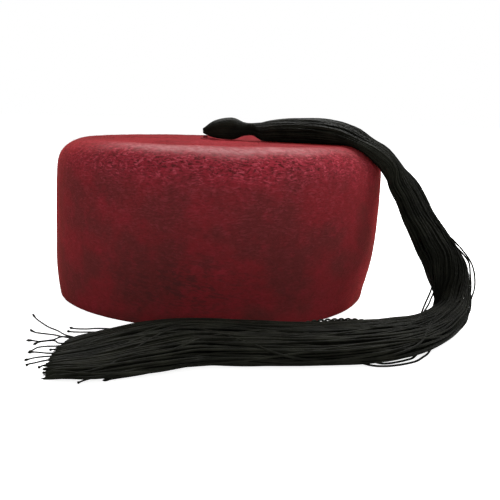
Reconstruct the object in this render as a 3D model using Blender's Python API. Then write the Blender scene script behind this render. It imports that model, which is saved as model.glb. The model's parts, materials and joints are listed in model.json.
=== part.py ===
"""A low felt fez with a long black tassel, standing on its rim.

The crown is one felt shell, open below, with a small felt nub near the middle of its top. A thread
loop round the nub holds the tassel's head. The tassel lies across the top, drops over the shoulder
on the right and lies on the table in front of the crown, with its tips to the left.
Metres, +Z up, the wearer's face towards -Y. The origin is the middle of the footprint, on the table.
"""

import math
from typing import NamedTuple

import bmesh
import bpy
import numpy as np
from mathutils import Vector

# Felt crown
CROWN_HEIGHT = 0.092
CROWN_RADIUS = 0.096  # outer radius under the shoulder, where the crown is widest
RIM_RADIUS = 0.092  # outer radius at the open rim
SIDE_BULGE = 0.0016  # how far the side swells past a straight cone at half height
SHOULDER_RADIUS = 0.0183
FELT_THICKNESS = 0.003
RIM_ROUNDING = 0.0008
CROWN_LEAN = 0.0024  # the soft top stands this far to +X of the rim

# Felt nub that the tassel hangs on
NUB_RADIUS = 0.0013
NUB_HEIGHT = 0.0025
NUB_FOOT = 0.0003  # fillet where the nub grows out of the top
NUB_X = -0.0101

# Thread loop round the nub
LOOP_THREAD = 0.0008
LOOP_CLEARANCE = 0.0003  # to the nub and to the felt under it

# Tassel
HEAD_LENGTH = 0.0235
HEAD_HEIGHT = 0.0132
HEAD_WIDTH = 0.0150
HEAD_TIP_X = -0.0114
HEAD_POINT = 0.00065  # how far the head's round tip stands past its first section
NECK_DIAMETER = 0.0076
NECK_LENGTH = 0.0085
SKIRT_WIDTH = 0.056
SKIRT_DEPTH = 0.0155
SEAT_GAP = 0.0003  # between the tassel and the felt that it lies on
REST_FLATTEN = 0.86  # share of the half depth that is left under the axis where the skirt rests
TRUNK_POINT = 0.0023  # how far the bundle's end swells past its last section
TIP_LENGTH = 0.020
TIP_DIAMETER = 0.0085
TIP_ROOT = 0.35  # share of its length that a tip lock is sunk in the bundle
TIP_TAPER = 0.62  # share of its radius that a tip lock loses towards its end
TIP_LIFT = 0.0004  # the tip locks' undersides stay this far off the table

# Mesh fineness
CROWN_SEGMENTS = 60
SECTION_POINTS = 36
HEAD_SPACING = 0.0026
SECTION_SPACING = 0.0063
TIP_SIDES = 7
TIP_STEPS = 6
LOOP_TURN_STEPS = 20
LOOP_THREAD_SIDES = 8

# Felt colour and thread colour, linear RGB
FELT_COLOUR = (0.165, 0.012, 0.020)
THREAD_COLOUR = (0.010, 0.010, 0.009)


class Dent(NamedTuple):
    """A soft hollow in the felt side: where it is, how wide, and how deep in shares of the radius."""

    bearing: float
    height: float
    bearing_spread: float
    height_spread: float
    depth: float


DENTS = (
    Dent(bearing=-22, height=0.00, bearing_spread=26, height_spread=0.26, depth=0.034),
    Dent(bearing=176, height=0.50, bearing_spread=30, height_spread=0.20, depth=0.010),
    Dent(bearing=182, height=0.14, bearing_spread=36, height_spread=0.20, depth=-0.014),
    Dent(bearing=20, height=0.62, bearing_spread=34, height_spread=0.22, depth=-0.007),
    Dent(bearing=-100, height=0.42, bearing_spread=28, height_spread=0.22, depth=0.010),
    Dent(bearing=70, height=0.30, bearing_spread=30, height_spread=0.22, depth=0.014),
    Dent(bearing=128, height=0.62, bearing_spread=24, height_spread=0.20, depth=0.010),
)


class HeadSection(NamedTuple):
    """A ring of the tassel's head: its place in shares of the head's length, and its size.

    size is the share of the head's full width and height, and sink is how far the ring's middle
    hangs under the head's axis, as a share of the height.
    """

    along: float
    size: float
    sink: float


HEAD_SECTIONS = (
    HeadSection(along=0.00, size=0.22, sink=0.130),
    HeadSection(along=0.08, size=0.39, sink=0.120),
    HeadSection(along=0.16, size=0.56, sink=0.100),
    HeadSection(along=0.27, size=0.75, sink=0.065),
    HeadSection(along=0.42, size=0.89, sink=0.030),
    HeadSection(along=0.62, size=0.98, sink=0.000),
    HeadSection(along=0.76, size=1.00, sink=0.000),
    HeadSection(along=0.88, size=0.87, sink=0.000),
    HeadSection(along=0.98, size=0.69, sink=0.000),
)


class NeckRing(NamedTuple):
    """A ring of the neck: its place in shares of the neck's length, and how far the locks show."""

    along: float
    locks: float


NECK_RINGS = (
    NeckRing(along=0.35, locks=0.10),
    NeckRing(along=0.85, locks=0.25),
)


class TopSection(NamedTuple):
    """A section of the skirt on the crown.

    reach is 0 at the crown's middle, 1 where the shoulder starts and 2 where it ends.
    """

    reach: float
    bearing: float
    width: float
    depth: float


TOP_SECTIONS = (
    TopSection(reach=0.335, bearing=-5, width=0.27, depth=0.80),
    TopSection(reach=0.44, bearing=-9, width=0.41, depth=0.90),
    TopSection(reach=0.65, bearing=-14, width=0.49, depth=0.98),
    TopSection(reach=0.86, bearing=-17.5, width=0.52, depth=0.94),
    TopSection(reach=1.00, bearing=-19.5, width=0.53, depth=0.84),
    TopSection(reach=1.28, bearing=-20.5, width=0.53, depth=0.70),
    TopSection(reach=1.58, bearing=-20.5, width=0.47, depth=0.70),
)


class AirSection(NamedTuple):
    """A section of the skirt that hangs free. x and y are in crown radii and z in crown heights."""

    x: float
    y: float
    z: float
    width: float
    depth: float


AIR_SECTIONS = (
    AirSection(x=1.083, y=-0.380, z=0.820, width=0.43, depth=0.74),
    AirSection(x=1.138, y=-0.430, z=0.717, width=0.44, depth=0.78),
    AirSection(x=1.198, y=-0.480, z=0.576, width=0.45, depth=0.90),
    AirSection(x=1.268, y=-0.535, z=0.440, width=0.50, depth=1.08),
    AirSection(x=1.328, y=-0.595, z=0.308, width=0.465, depth=1.14),
    AirSection(x=1.362, y=-0.660, z=0.190, width=0.355, depth=1.08),
    AirSection(x=1.343, y=-0.759, z=0.105, width=0.345, depth=1.00),
)


class BendSection(NamedTuple):
    """A section where the skirt turns on the table. x and y of its axis are in crown radii."""

    x: float
    y: float
    width: float
    depth: float


BEND_SECTIONS = (
    BendSection(x=1.233, y=-0.919, width=0.380, depth=0.92),
    BendSection(x=1.060, y=-1.108, width=0.64, depth=0.84),
)


class FloorSection(NamedTuple):
    """A section of the skirt on the table. x and its edge nearer the crown, both in crown radii."""

    x: float
    near_edge: float
    width: float
    depth: float


FLOOR_SECTIONS = (
    FloorSection(x=0.840, near_edge=1.045, width=0.80, depth=0.93),
    FloorSection(x=0.560, near_edge=1.120, width=0.84, depth=0.95),
    FloorSection(x=0.240, near_edge=1.125, width=0.89, depth=0.97),
    FloorSection(x=-0.080, near_edge=1.135, width=0.96, depth=1.00),
    FloorSection(x=-0.330, near_edge=1.245, width=1.00, depth=0.96),
    FloorSection(x=-0.520, near_edge=1.360, width=0.90, depth=0.80),
    FloorSection(x=-0.600, near_edge=1.430, width=0.78, depth=0.64),
)


class Lock(NamedTuple):
    """A lock of threads in the bundle: bearing and distance from the axis, and radius, in shares."""

    bearing: float
    out: float
    radius: float
    drift: float
    phase: float


LOCKS = (
    Lock(bearing=8, out=0.70, radius=0.31, drift=16, phase=0.0),
    Lock(bearing=52, out=0.66, radius=0.34, drift=-14, phase=1.1),
    Lock(bearing=95, out=0.69, radius=0.32, drift=12, phase=2.3),
    Lock(bearing=140, out=0.71, radius=0.29, drift=-16, phase=3.0),
    Lock(bearing=186, out=0.70, radius=0.31, drift=15, phase=4.2),
    Lock(bearing=232, out=0.67, radius=0.33, drift=-12, phase=5.1),
    Lock(bearing=275, out=0.68, radius=0.33, drift=13, phase=0.7),
    Lock(bearing=320, out=0.70, radius=0.30, drift=-15, phase=1.9),
)
LOCK_WAVE = 0.14  # length of one slow sway of the locks along the bundle
CORE_RADIUS = 0.66  # the threads between the locks fill the bundle out to this share


class Tip(NamedTuple):
    """A lock's free end: its place across the bundle, its height, length, turn and thickness."""

    across: float
    height: float
    length: float
    turn: float
    size: float


TIPS = (
    Tip(across=-0.78, height=0.30, length=0.70, turn=10, size=0.80),
    Tip(across=-0.52, height=0.62, length=1.00, turn=3, size=1.00),
    Tip(across=-0.24, height=0.36, length=0.92, turn=-3, size=0.92),
    Tip(across=0.04, height=0.70, length=0.84, turn=-10, size=1.00),
    Tip(across=0.32, height=0.38, length=1.00, turn=-17, size=0.86),
    Tip(across=0.58, height=0.62, length=0.78, turn=-24, size=0.92),
    Tip(across=0.80, height=0.32, length=0.90, turn=-34, size=0.72),
)


def clear_scene():
    for thing in list(bpy.data.objects):
        bpy.data.objects.remove(thing, do_unlink=True)


def cloth_material(name, colour, roughness, sheen):
    material = bpy.data.materials.new(name)
    material.use_nodes = True
    shader = material.node_tree.nodes["Principled BSDF"]
    shader.inputs["Base Color"].default_value = (*colour, 1.0)
    shader.inputs["Roughness"].default_value = roughness
    shader.inputs["Metallic"].default_value = 0.0
    shader.inputs["Sheen Weight"].default_value = sheen
    material.diffuse_color = (*colour, 1.0)
    return material


def mesh_object(name, points, faces, material):
    mesh = bpy.data.meshes.new(name)
    mesh.from_pydata([tuple(p) for p in points], [], faces)
    mesh.materials.append(material)
    mesh.shade_smooth()
    thing = bpy.data.objects.new(name, mesh)
    bpy.context.scene.collection.objects.link(thing)
    return thing


def closed_loft(rings, start, end):
    """Points and faces of a tube through rings of equal count, closed by the points start and end."""
    count = len(rings[0])
    points = [start] + [p for ring in rings for p in ring] + [end]
    faces = [(0, 1 + (k + 1) % count, 1 + k) for k in range(count)]
    for row in range(len(rings) - 1):
        low, high = 1 + row * count, 1 + (row + 1) * count
        for k in range(count):
            nxt = (k + 1) % count
            faces.append((low + k, low + nxt, high + nxt, high + k))
    last = 1 + (len(rings) - 1) * count
    faces += [(last + k, last + (k + 1) % count, len(points) - 1) for k in range(count)]
    return points, faces


def flat_top_radius():
    return CROWN_RADIUS - SHOULDER_RADIUS


def side_radius(height):
    """Outer radius of the crown's side at a height below the shoulder."""
    share = height / (CROWN_HEIGHT - SHOULDER_RADIUS)
    return RIM_RADIUS + (CROWN_RADIUS - RIM_RADIUS) * share + SIDE_BULGE * 4 * share * (1 - share)


def dent_depth(bearing, height):
    """How far the felt is pressed in at a bearing in degrees and a height."""
    depth = 0.0
    for dent in DENTS:
        turn = (bearing - dent.bearing + 180) % 360 - 180
        rise = height / CROWN_HEIGHT - dent.height
        spread = (turn / dent.bearing_spread) ** 2 + (rise / dent.height_spread) ** 2
        depth += dent.depth * CROWN_RADIUS * math.exp(-spread)
    return depth


def lean_at(height):
    return CROWN_LEAN * height / CROWN_HEIGHT


def nub_profile():
    """Radius and height from the nub's round top down to the flat top of the crown."""
    top = CROWN_HEIGHT + NUB_HEIGHT
    cap = [
        (NUB_RADIUS * math.sin(t), top - NUB_RADIUS + NUB_RADIUS * math.cos(t))
        for t in np.linspace(0, math.pi / 2, 5)[1:]
    ]
    foot = [
        (NUB_RADIUS + NUB_FOOT * (1 - math.cos(t)), CROWN_HEIGHT + NUB_FOOT * (1 - math.sin(t)))
        for t in np.linspace(0, math.pi / 2, 4)
    ]
    return cap + foot


def outer_profile():
    """Radius and height of the felt's outside, from the flat top down to the rounded rim."""
    flat = [(r, CROWN_HEIGHT) for r in np.linspace(NUB_RADIUS + NUB_FOOT, flat_top_radius(), 6)[1:]]
    centre = CROWN_HEIGHT - SHOULDER_RADIUS
    shoulder = [
        (flat_top_radius() + SHOULDER_RADIUS * math.sin(t), centre + SHOULDER_RADIUS * math.cos(t))
        for t in np.linspace(0, math.pi / 2, 8)[1:]
    ]
    side = [(side_radius(h), h) for h in np.linspace(centre, RIM_ROUNDING, 8)[1:]]
    rim = [
        (
            side_radius(0) - RIM_ROUNDING * (1 - math.cos(t)),
            RIM_ROUNDING * (1 - math.sin(t)),
        )
        for t in np.linspace(0, math.pi / 2, 4)[1:]
    ]
    return flat + shoulder + side + rim


def inner_profile():
    """Radius and height of the felt's inside, from the rounded rim up to the middle of the top."""
    rim = [
        (
            side_radius(0) - FELT_THICKNESS + RIM_ROUNDING * (1 - math.sin(t)),
            RIM_ROUNDING * (1 - math.cos(t)),
        )
        for t in np.linspace(0, math.pi / 2, 4)
    ]
    centre = CROWN_HEIGHT - SHOULDER_RADIUS
    side = [(side_radius(h) - FELT_THICKNESS, h) for h in np.linspace(RIM_ROUNDING, centre, 7)[1:]]
    hollow_radius = SHOULDER_RADIUS - FELT_THICKNESS
    shoulder = [
        (flat_top_radius() + hollow_radius * math.cos(t), centre + hollow_radius * math.sin(t))
        for t in np.linspace(0, math.pi / 2, 6)[1:]
    ]
    roof = CROWN_HEIGHT - FELT_THICKNESS
    flat = [(r, roof) for r in np.linspace(flat_top_radius(), 0, 4)[1:-1]]
    return rim + side + shoulder + flat


def crown_ring(radius, height, middle_x):
    """One ring of felt points, leaning and dented as the soft crown is."""
    ring = []
    for k in range(CROWN_SEGMENTS):
        bearing = 360 * k / CROWN_SEGMENTS
        on_side = min(1.0, max(0.0, (radius - flat_top_radius() / 2) / (flat_top_radius() / 2)))
        out = radius - dent_depth(bearing, height) * on_side
        x = middle_x + lean_at(height) + out * math.cos(math.radians(bearing))
        ring.append((x, out * math.sin(math.radians(bearing)), height))
    return ring


def build_crown(felt):
    rings = [crown_ring(r, h, NUB_X) for r, h in nub_profile()]
    for radius, height in outer_profile():
        share = min(1.0, radius / flat_top_radius())
        rings.append(crown_ring(radius, height, NUB_X * (1 - share)))
    rings += [crown_ring(r, h, 0.0) for r, h in inner_profile()]
    nub_top = (NUB_X + lean_at(CROWN_HEIGHT + NUB_HEIGHT), 0, CROWN_HEIGHT + NUB_HEIGHT)
    roof = CROWN_HEIGHT - FELT_THICKNESS
    points, faces = closed_loft(rings, nub_top, (lean_at(roof), 0, roof))
    return mesh_object("crown", points, [face[::-1] for face in faces], felt)


def build_hanging_loop(thread):
    """A thread ring that lies on the felt round the nub, under the tip of the tassel's head."""
    ring_radius = NUB_RADIUS + NUB_FOOT + LOOP_CLEARANCE + LOOP_THREAD / 2
    height = CROWN_HEIGHT + LOOP_CLEARANCE + LOOP_THREAD / 2
    rings = []
    for turn in np.linspace(0, 2 * math.pi, LOOP_TURN_STEPS, endpoint=False):
        ring = []
        for side in np.linspace(0, 2 * math.pi, LOOP_THREAD_SIDES, endpoint=False):
            out = ring_radius + LOOP_THREAD / 2 * math.cos(side)
            ring.append(
                (
                    NUB_X + lean_at(height) + out * math.cos(turn),
                    out * math.sin(turn),
                    height + LOOP_THREAD / 2 * math.sin(side),
                )
            )
        rings.append(ring)
    points = [p for ring in rings for p in ring]
    faces = []
    for i in range(LOOP_TURN_STEPS):
        a, b = i * LOOP_THREAD_SIDES, (i + 1) % LOOP_TURN_STEPS * LOOP_THREAD_SIDES
        for k in range(LOOP_THREAD_SIDES):
            n = (k + 1) % LOOP_THREAD_SIDES
            faces.append((a + k, b + k, b + n, a + n))
    return mesh_object("hanging_loop", points, faces, thread)


class Section(NamedTuple):
    """A section of the tassel: centre, half width, half depth, flatness below and lock strength."""

    centre: tuple
    half_width: float
    half_depth: float
    under: float
    locks: float


def seat_on_crown(reach, bearing, depth_under):
    """The point that is depth_under above the felt, at a reach and bearing over the crown."""
    lift = SEAT_GAP + depth_under
    if reach <= 1:
        radius, height = reach * flat_top_radius(), CROWN_HEIGHT + lift
    else:
        turn = math.pi / 2 * (reach - 1)
        radius = flat_top_radius() + (SHOULDER_RADIUS + lift) * math.sin(turn)
        height = CROWN_HEIGHT - SHOULDER_RADIUS + (SHOULDER_RADIUS + lift) * math.cos(turn)
    angle = math.radians(bearing)
    return (radius * math.cos(angle) + lean_at(CROWN_HEIGHT), radius * math.sin(angle), height)


def head_sections():
    sections = []
    axis = CROWN_HEIGHT + SEAT_GAP + HEAD_HEIGHT / 2
    neck_x = HEAD_TIP_X + HEAD_LENGTH
    for row in HEAD_SECTIONS:
        x = HEAD_TIP_X + row.along * HEAD_LENGTH + lean_at(CROWN_HEIGHT)
        centre = (x, 0.0, axis - HEAD_HEIGHT * row.sink)
        size = (HEAD_WIDTH / 2 * row.size, HEAD_HEIGHT / 2 * row.size)
        sections.append(Section(centre, *size, 1.0, 0.0))
    for along, locks in NECK_RINGS:
        x = neck_x + along * NECK_LENGTH + lean_at(CROWN_HEIGHT)
        centre = (x, 0.0, axis)
        sections.append(Section(centre, NECK_DIAMETER / 2, NECK_DIAMETER / 2, 1.0, locks))
    return sections


def skirt_sections():
    sections = []
    for row in TOP_SECTIONS:
        half_depth = SKIRT_DEPTH / 2 * row.depth
        centre = seat_on_crown(row.reach, row.bearing, half_depth * REST_FLATTEN)
        sections.append(Section(centre, SKIRT_WIDTH / 2 * row.width, half_depth, REST_FLATTEN, 1.0))
    for row in AIR_SECTIONS:
        centre = (row.x * CROWN_RADIUS, row.y * CROWN_RADIUS, row.z * CROWN_HEIGHT)
        half = (SKIRT_WIDTH / 2 * row.width, SKIRT_DEPTH / 2 * row.depth)
        sections.append(Section(centre, *half, 1.0, 1.0))
    for row in BEND_SECTIONS:
        half_width, half_depth = SKIRT_WIDTH / 2 * row.width, SKIRT_DEPTH / 2 * row.depth
        centre = (row.x * CROWN_RADIUS, row.y * CROWN_RADIUS, half_depth * REST_FLATTEN)
        sections.append(Section(centre, half_width, half_depth, REST_FLATTEN, 1.0))
    for row in FLOOR_SECTIONS:
        half_width, half_depth = SKIRT_WIDTH / 2 * row.width, SKIRT_DEPTH / 2 * row.depth
        y = -row.near_edge * CROWN_RADIUS - half_width
        centre = (row.x * CROWN_RADIUS, y, half_depth * REST_FLATTEN)
        sections.append(Section(centre, half_width, half_depth, REST_FLATTEN, 1.0))
    return sections


def smooth_through(knots, values, at):
    """Values read at the given places from a smooth curve through values at the knots."""
    knots, values = np.asarray(knots), np.asarray(values, float)
    slopes = np.gradient(values, knots, axis=0)
    i = np.clip(np.searchsorted(knots, at, side="right") - 1, 0, len(knots) - 2)
    span = (knots[i + 1] - knots[i])[:, None]
    t = (np.asarray(at) - knots[i])[:, None] / span
    start = (1 + 2 * t) * (1 - t) ** 2 * values[i] + t * (1 - t) ** 2 * span * slopes[i]
    return start + t * t * (3 - 2 * t) * values[i + 1] + t * t * (t - 1) * span * slopes[i + 1]


def sampled(head, skirt):
    """Rows of centre, half width, half depth, flatness and lock strength, close set on the head.

    The second result is each row's distance along the tassel.
    """
    table = np.array(
        [[*s.centre, s.half_width, s.half_depth, s.under, s.locks] for s in head + skirt]
    )
    steps = np.linalg.norm(np.diff(table[:, :3], axis=0), axis=1)
    knots = np.concatenate([[0], np.cumsum(steps)])
    neck = knots[len(head) - 1]
    head_steps = int(round(neck / HEAD_SPACING))
    skirt_steps = int(round((knots[-1] - neck) / SECTION_SPACING))
    on_head = np.linspace(0, neck, head_steps, endpoint=False)
    at = np.concatenate([on_head, np.linspace(neck, knots[-1], skirt_steps + 1)])
    return smooth_through(knots, table, at), at


def section_axes(centres):
    """The across and depth directions at each centre; across is level, depth points up or outward."""
    tangents = np.gradient(centres, axis=0)
    tangents /= np.linalg.norm(tangents, axis=1)[:, None]
    across = np.cross(tangents, (0, 0, 1))
    across /= np.linalg.norm(across, axis=1)[:, None]
    return across, np.cross(across, tangents), tangents


def clear_of_felt(point):
    """The point itself, or the nearest one that is clear of the crown's top and shoulder.

    Over the shoulder the flat facets between two rings need a little more than SEAT_GAP.
    """
    lean = lean_at(CROWN_HEIGHT)
    radius = math.hypot(point[0] - lean, point[1])
    centre = CROWN_HEIGHT - SHOULDER_RADIUS
    keep = SHOULDER_RADIUS + SEAT_GAP + SECTION_SPACING**2 / (8 * SHOULDER_RADIUS)
    if point[2] < centre or radius > flat_top_radius() + keep:
        return point
    if radius <= flat_top_radius():
        return (point[0], point[1], max(point[2], CROWN_HEIGHT + SEAT_GAP))
    off = (radius - flat_top_radius(), point[2] - centre)
    distance = math.hypot(*off)
    if distance >= keep:
        return point
    push = keep / distance
    grown = (flat_top_radius() + off[0] * push) / radius
    return (lean + (point[0] - lean) * grown, point[1] * grown, centre + off[1] * push)


def lock_outline(angle, length, strength):
    """How far the bundle reaches at an angle of its section, in shares, as the locks stand there."""
    reach = CORE_RADIUS
    for lock in LOCKS:
        sway = lock.drift * math.sin(2 * math.pi * length / LOCK_WAVE + lock.phase)
        turn = angle - math.radians(lock.bearing + sway)
        inside = lock.radius**2 - (lock.out * math.sin(turn)) ** 2
        if inside > 0:
            reach = max(reach, lock.out * math.cos(turn) + math.sqrt(inside))
    return 1 + (reach - 1) * strength


def skirt_rings(rows, lengths):
    """The rings of the whole tassel, from the head's tip to the end of its trunk."""
    across, depth, _ = section_axes(rows[:, :3])
    rings = []
    for i, row in enumerate(rows):
        half_width, half_depth, under, locks = row[3:7]
        ring = []
        for k in range(SECTION_POINTS):
            angle = 2 * math.pi * k / SECTION_POINTS
            reach = lock_outline(angle, lengths[i], locks)
            sideways = reach * math.cos(angle) * half_width
            outward = max(reach * math.sin(angle), -under) * half_depth
            point = row[:3] + across[i] * sideways + depth[i] * outward
            ring.append(clear_of_felt((point[0], point[1], max(point[2], 0.0))))
        rings.append(ring)
    return rings


def build_tip(index, tip, base, forward, across, half_width, half_depth, thread):
    """A tapered lock that grows out of the trunk's end and bends sideways along the table."""
    thickness = TIP_DIAMETER / 2 * tip.size
    height = max(thickness + TIP_LIFT, tip.height * 2 * half_depth)
    start = base + across * tip.across * (half_width - thickness)
    rings = []
    for i in range(TIP_STEPS + 1):
        share = i / TIP_STEPS
        turn = math.radians(tip.turn) * share
        heading = forward * math.cos(turn) + across * math.sin(turn)
        sideways = across * math.cos(turn) - forward * math.sin(turn)
        radius = thickness * (1 - TIP_TAPER * share**2)
        centre = start + heading * (TIP_LENGTH * (tip.length * share - TIP_ROOT))
        lift = radius + TIP_LIFT + (height - thickness - TIP_LIFT) * (1 - share)
        ring = []
        for k in range(TIP_SIDES):
            angle = 2 * math.pi * k / TIP_SIDES
            point = centre + sideways * (radius * math.cos(angle))
            ring.append((point[0], point[1], lift + radius * math.sin(angle)))
        rings.append(ring)
    ends = [tuple(np.mean(ring, axis=0)) for ring in (rings[0], rings[-1])]
    points, faces = closed_loft(rings, *ends)
    guide = mesh_object(f"tip_{index}", points, faces, thread)
    outward_faces(guide)
    guide.hide_render = True
    guide.display_type = "WIRE"
    return guide


def outward_faces(thing):
    """Turns a closed mesh's faces outward."""
    shape = bmesh.new()
    shape.from_mesh(thing.data)
    bmesh.ops.recalc_face_normals(shape, faces=shape.faces)
    shape.to_mesh(thing.data)
    shape.free()


def build_tassel(thread):
    rows, lengths = sampled(head_sections(), skirt_sections())
    rings = skirt_rings(rows, lengths)
    tip_point = rows[0, :3] - np.array((HEAD_POINT, 0, 0))
    across, _, tangents = section_axes(rows[:, :3])
    end_point = np.mean(rings[-1], axis=0) + tangents[-1] * TRUNK_POINT
    points, faces = closed_loft(rings, tuple(tip_point), tuple(end_point))
    tassel = mesh_object("tassel", points, faces, thread)
    outward_faces(tassel)
    level = np.array((tangents[-1][0], tangents[-1][1], 0))
    level /= np.linalg.norm(level)
    base = np.array((rows[-1, 0], rows[-1, 1], 0))
    for index, tip in enumerate(TIPS, start=1):
        guide = build_tip(index, tip, base, level, across[-1], rows[-1, 3], rows[-1, 4], thread)
        join = tassel.modifiers.new(f"join_{guide.name}", "BOOLEAN")
        join.operation = "UNION"
        join.solver = "EXACT"
        join.object = guide
    return tassel


def centre_on_footprint():
    """Moves every object so that the origin is the middle of the footprint on the table."""
    bpy.context.view_layer.update()
    graph = bpy.context.evaluated_depsgraph_get()
    corners = []
    for thing in bpy.data.objects:
        if not thing.hide_render:
            shape = thing.evaluated_get(graph)
            corners += [shape.matrix_world @ vertex.co for vertex in shape.data.vertices]
    low = [min(c[i] for c in corners) for i in range(2)]
    high = [max(c[i] for c in corners) for i in range(2)]
    shift = Vector((-(low[0] + high[0]) / 2, -(low[1] + high[1]) / 2, 0))
    for thing in bpy.data.objects:
        thing.location += shift
    return shift


def main():
    clear_scene()
    felt = cloth_material("felt", FELT_COLOUR, 0.95, 0.4)
    thread = cloth_material("tassel_thread", THREAD_COLOUR, 0.6, 0.1)
    build_crown(felt)
    build_hanging_loop(thread)
    build_tassel(thread)
    shift = centre_on_footprint()
    print("crown axis stands at", tuple(round(value, 5) for value in shift))


main()
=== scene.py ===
"""The looks of a low felt fez with a long black tassel.

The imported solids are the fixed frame. This script lays brushed wool felt over the crown and some
two hundred threads over the tassel, and adds the floor, the light and the camera.
Metres, +Z up. The route tables hold shares of the crown's and the tassel's own measures.
"""

import json
import logging
import math
from dataclasses import dataclass
from enum import Enum
from typing import NamedTuple, Sequence

import bpy
import numpy as np
from mathutils import Matrix, Vector

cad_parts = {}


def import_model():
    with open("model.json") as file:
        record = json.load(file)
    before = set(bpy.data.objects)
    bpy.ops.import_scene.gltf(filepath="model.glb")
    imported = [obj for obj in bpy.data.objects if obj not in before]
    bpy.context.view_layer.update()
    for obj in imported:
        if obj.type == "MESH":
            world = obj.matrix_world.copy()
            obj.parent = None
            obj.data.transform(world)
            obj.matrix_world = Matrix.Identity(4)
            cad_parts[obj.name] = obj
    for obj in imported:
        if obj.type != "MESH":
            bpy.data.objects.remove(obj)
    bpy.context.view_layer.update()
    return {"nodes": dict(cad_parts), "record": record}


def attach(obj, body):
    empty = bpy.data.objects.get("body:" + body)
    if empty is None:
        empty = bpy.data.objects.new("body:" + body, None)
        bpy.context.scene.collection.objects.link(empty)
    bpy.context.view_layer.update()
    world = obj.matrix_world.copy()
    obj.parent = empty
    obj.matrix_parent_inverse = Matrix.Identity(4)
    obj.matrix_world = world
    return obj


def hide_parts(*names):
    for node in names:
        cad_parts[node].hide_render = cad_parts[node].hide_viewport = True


LOG = logging.getLogger("fez")
SEED = 20
MILLIMETRE = 0.001
# where along X the threads start to be darker with painted shade, over what length, and by how much
PAINTED_SHADE_FROM = 0.066
PAINTED_SHADE_RUN = 0.022
PAINTED_SHADE_MOST = 0.6
# the least gap between a thread and the table
TABLE_GAP = 0.00005
# points along a loose thread, and how a knotted tip swells and ends over its last few
LOOSE_STEPS = 48
TIP_KNOT = (1.2, 1.6, 1.7, 0.7)


class Slot(Enum):
    """The record's material slots."""

    FELT = "felt"
    THREAD = "tassel_thread"


class Dent(NamedTuple):
    """A soft hollow in the felt side.

    The bearings are in degrees, the heights in crown heights and the depth in crown radii.
    """

    bearing: float
    height: float
    bearing_spread: float
    height_spread: float
    depth: float


DENTS = (
    Dent(bearing=-22, height=0.00, bearing_spread=26, height_spread=0.20, depth=0.034),
    Dent(bearing=176, height=0.50, bearing_spread=30, height_spread=0.20, depth=0.001),
    Dent(bearing=182, height=0.14, bearing_spread=36, height_spread=0.20, depth=-0.014),
    Dent(bearing=20, height=0.62, bearing_spread=34, height_spread=0.22, depth=-0.002),
    Dent(bearing=-100, height=0.42, bearing_spread=28, height_spread=0.22, depth=0.010),
    Dent(bearing=70, height=0.30, bearing_spread=30, height_spread=0.22, depth=0.014),
    Dent(bearing=128, height=0.62, bearing_spread=24, height_spread=0.20, depth=0.010),
    Dent(bearing=192, height=0.93, bearing_spread=44, height_spread=0.07, depth=-0.011),
)


class Swell(NamedTuple):
    """A soft rise of the flat top: its place from the turned form's axis, its spread and its height."""

    x: float
    y: float
    spread_x: float
    spread_y: float
    rise: float


# behind the tassel's neck, and a pucker in front of the loop
SWELLS = (
    Swell(x=0.0205, y=0.0400, spread_x=0.0110, spread_y=0.0180, rise=0.0025),
    Swell(x=0.0018, y=-0.0052, spread_x=0.0052, spread_y=0.0017, rise=0.0014),
)


class NapBand(NamedTuple):
    """A level band of brushed nap: its middle's drop under the top, its spread and its strength."""

    drop: float
    spread: float
    strength: float


NAP_LEAST = 0.04
NAP_BANDS = (
    NapBand(drop=0.0070, spread=0.0090, strength=0.84),
    NapBand(drop=0.018, spread=0.030, strength=0.13),
)


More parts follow.
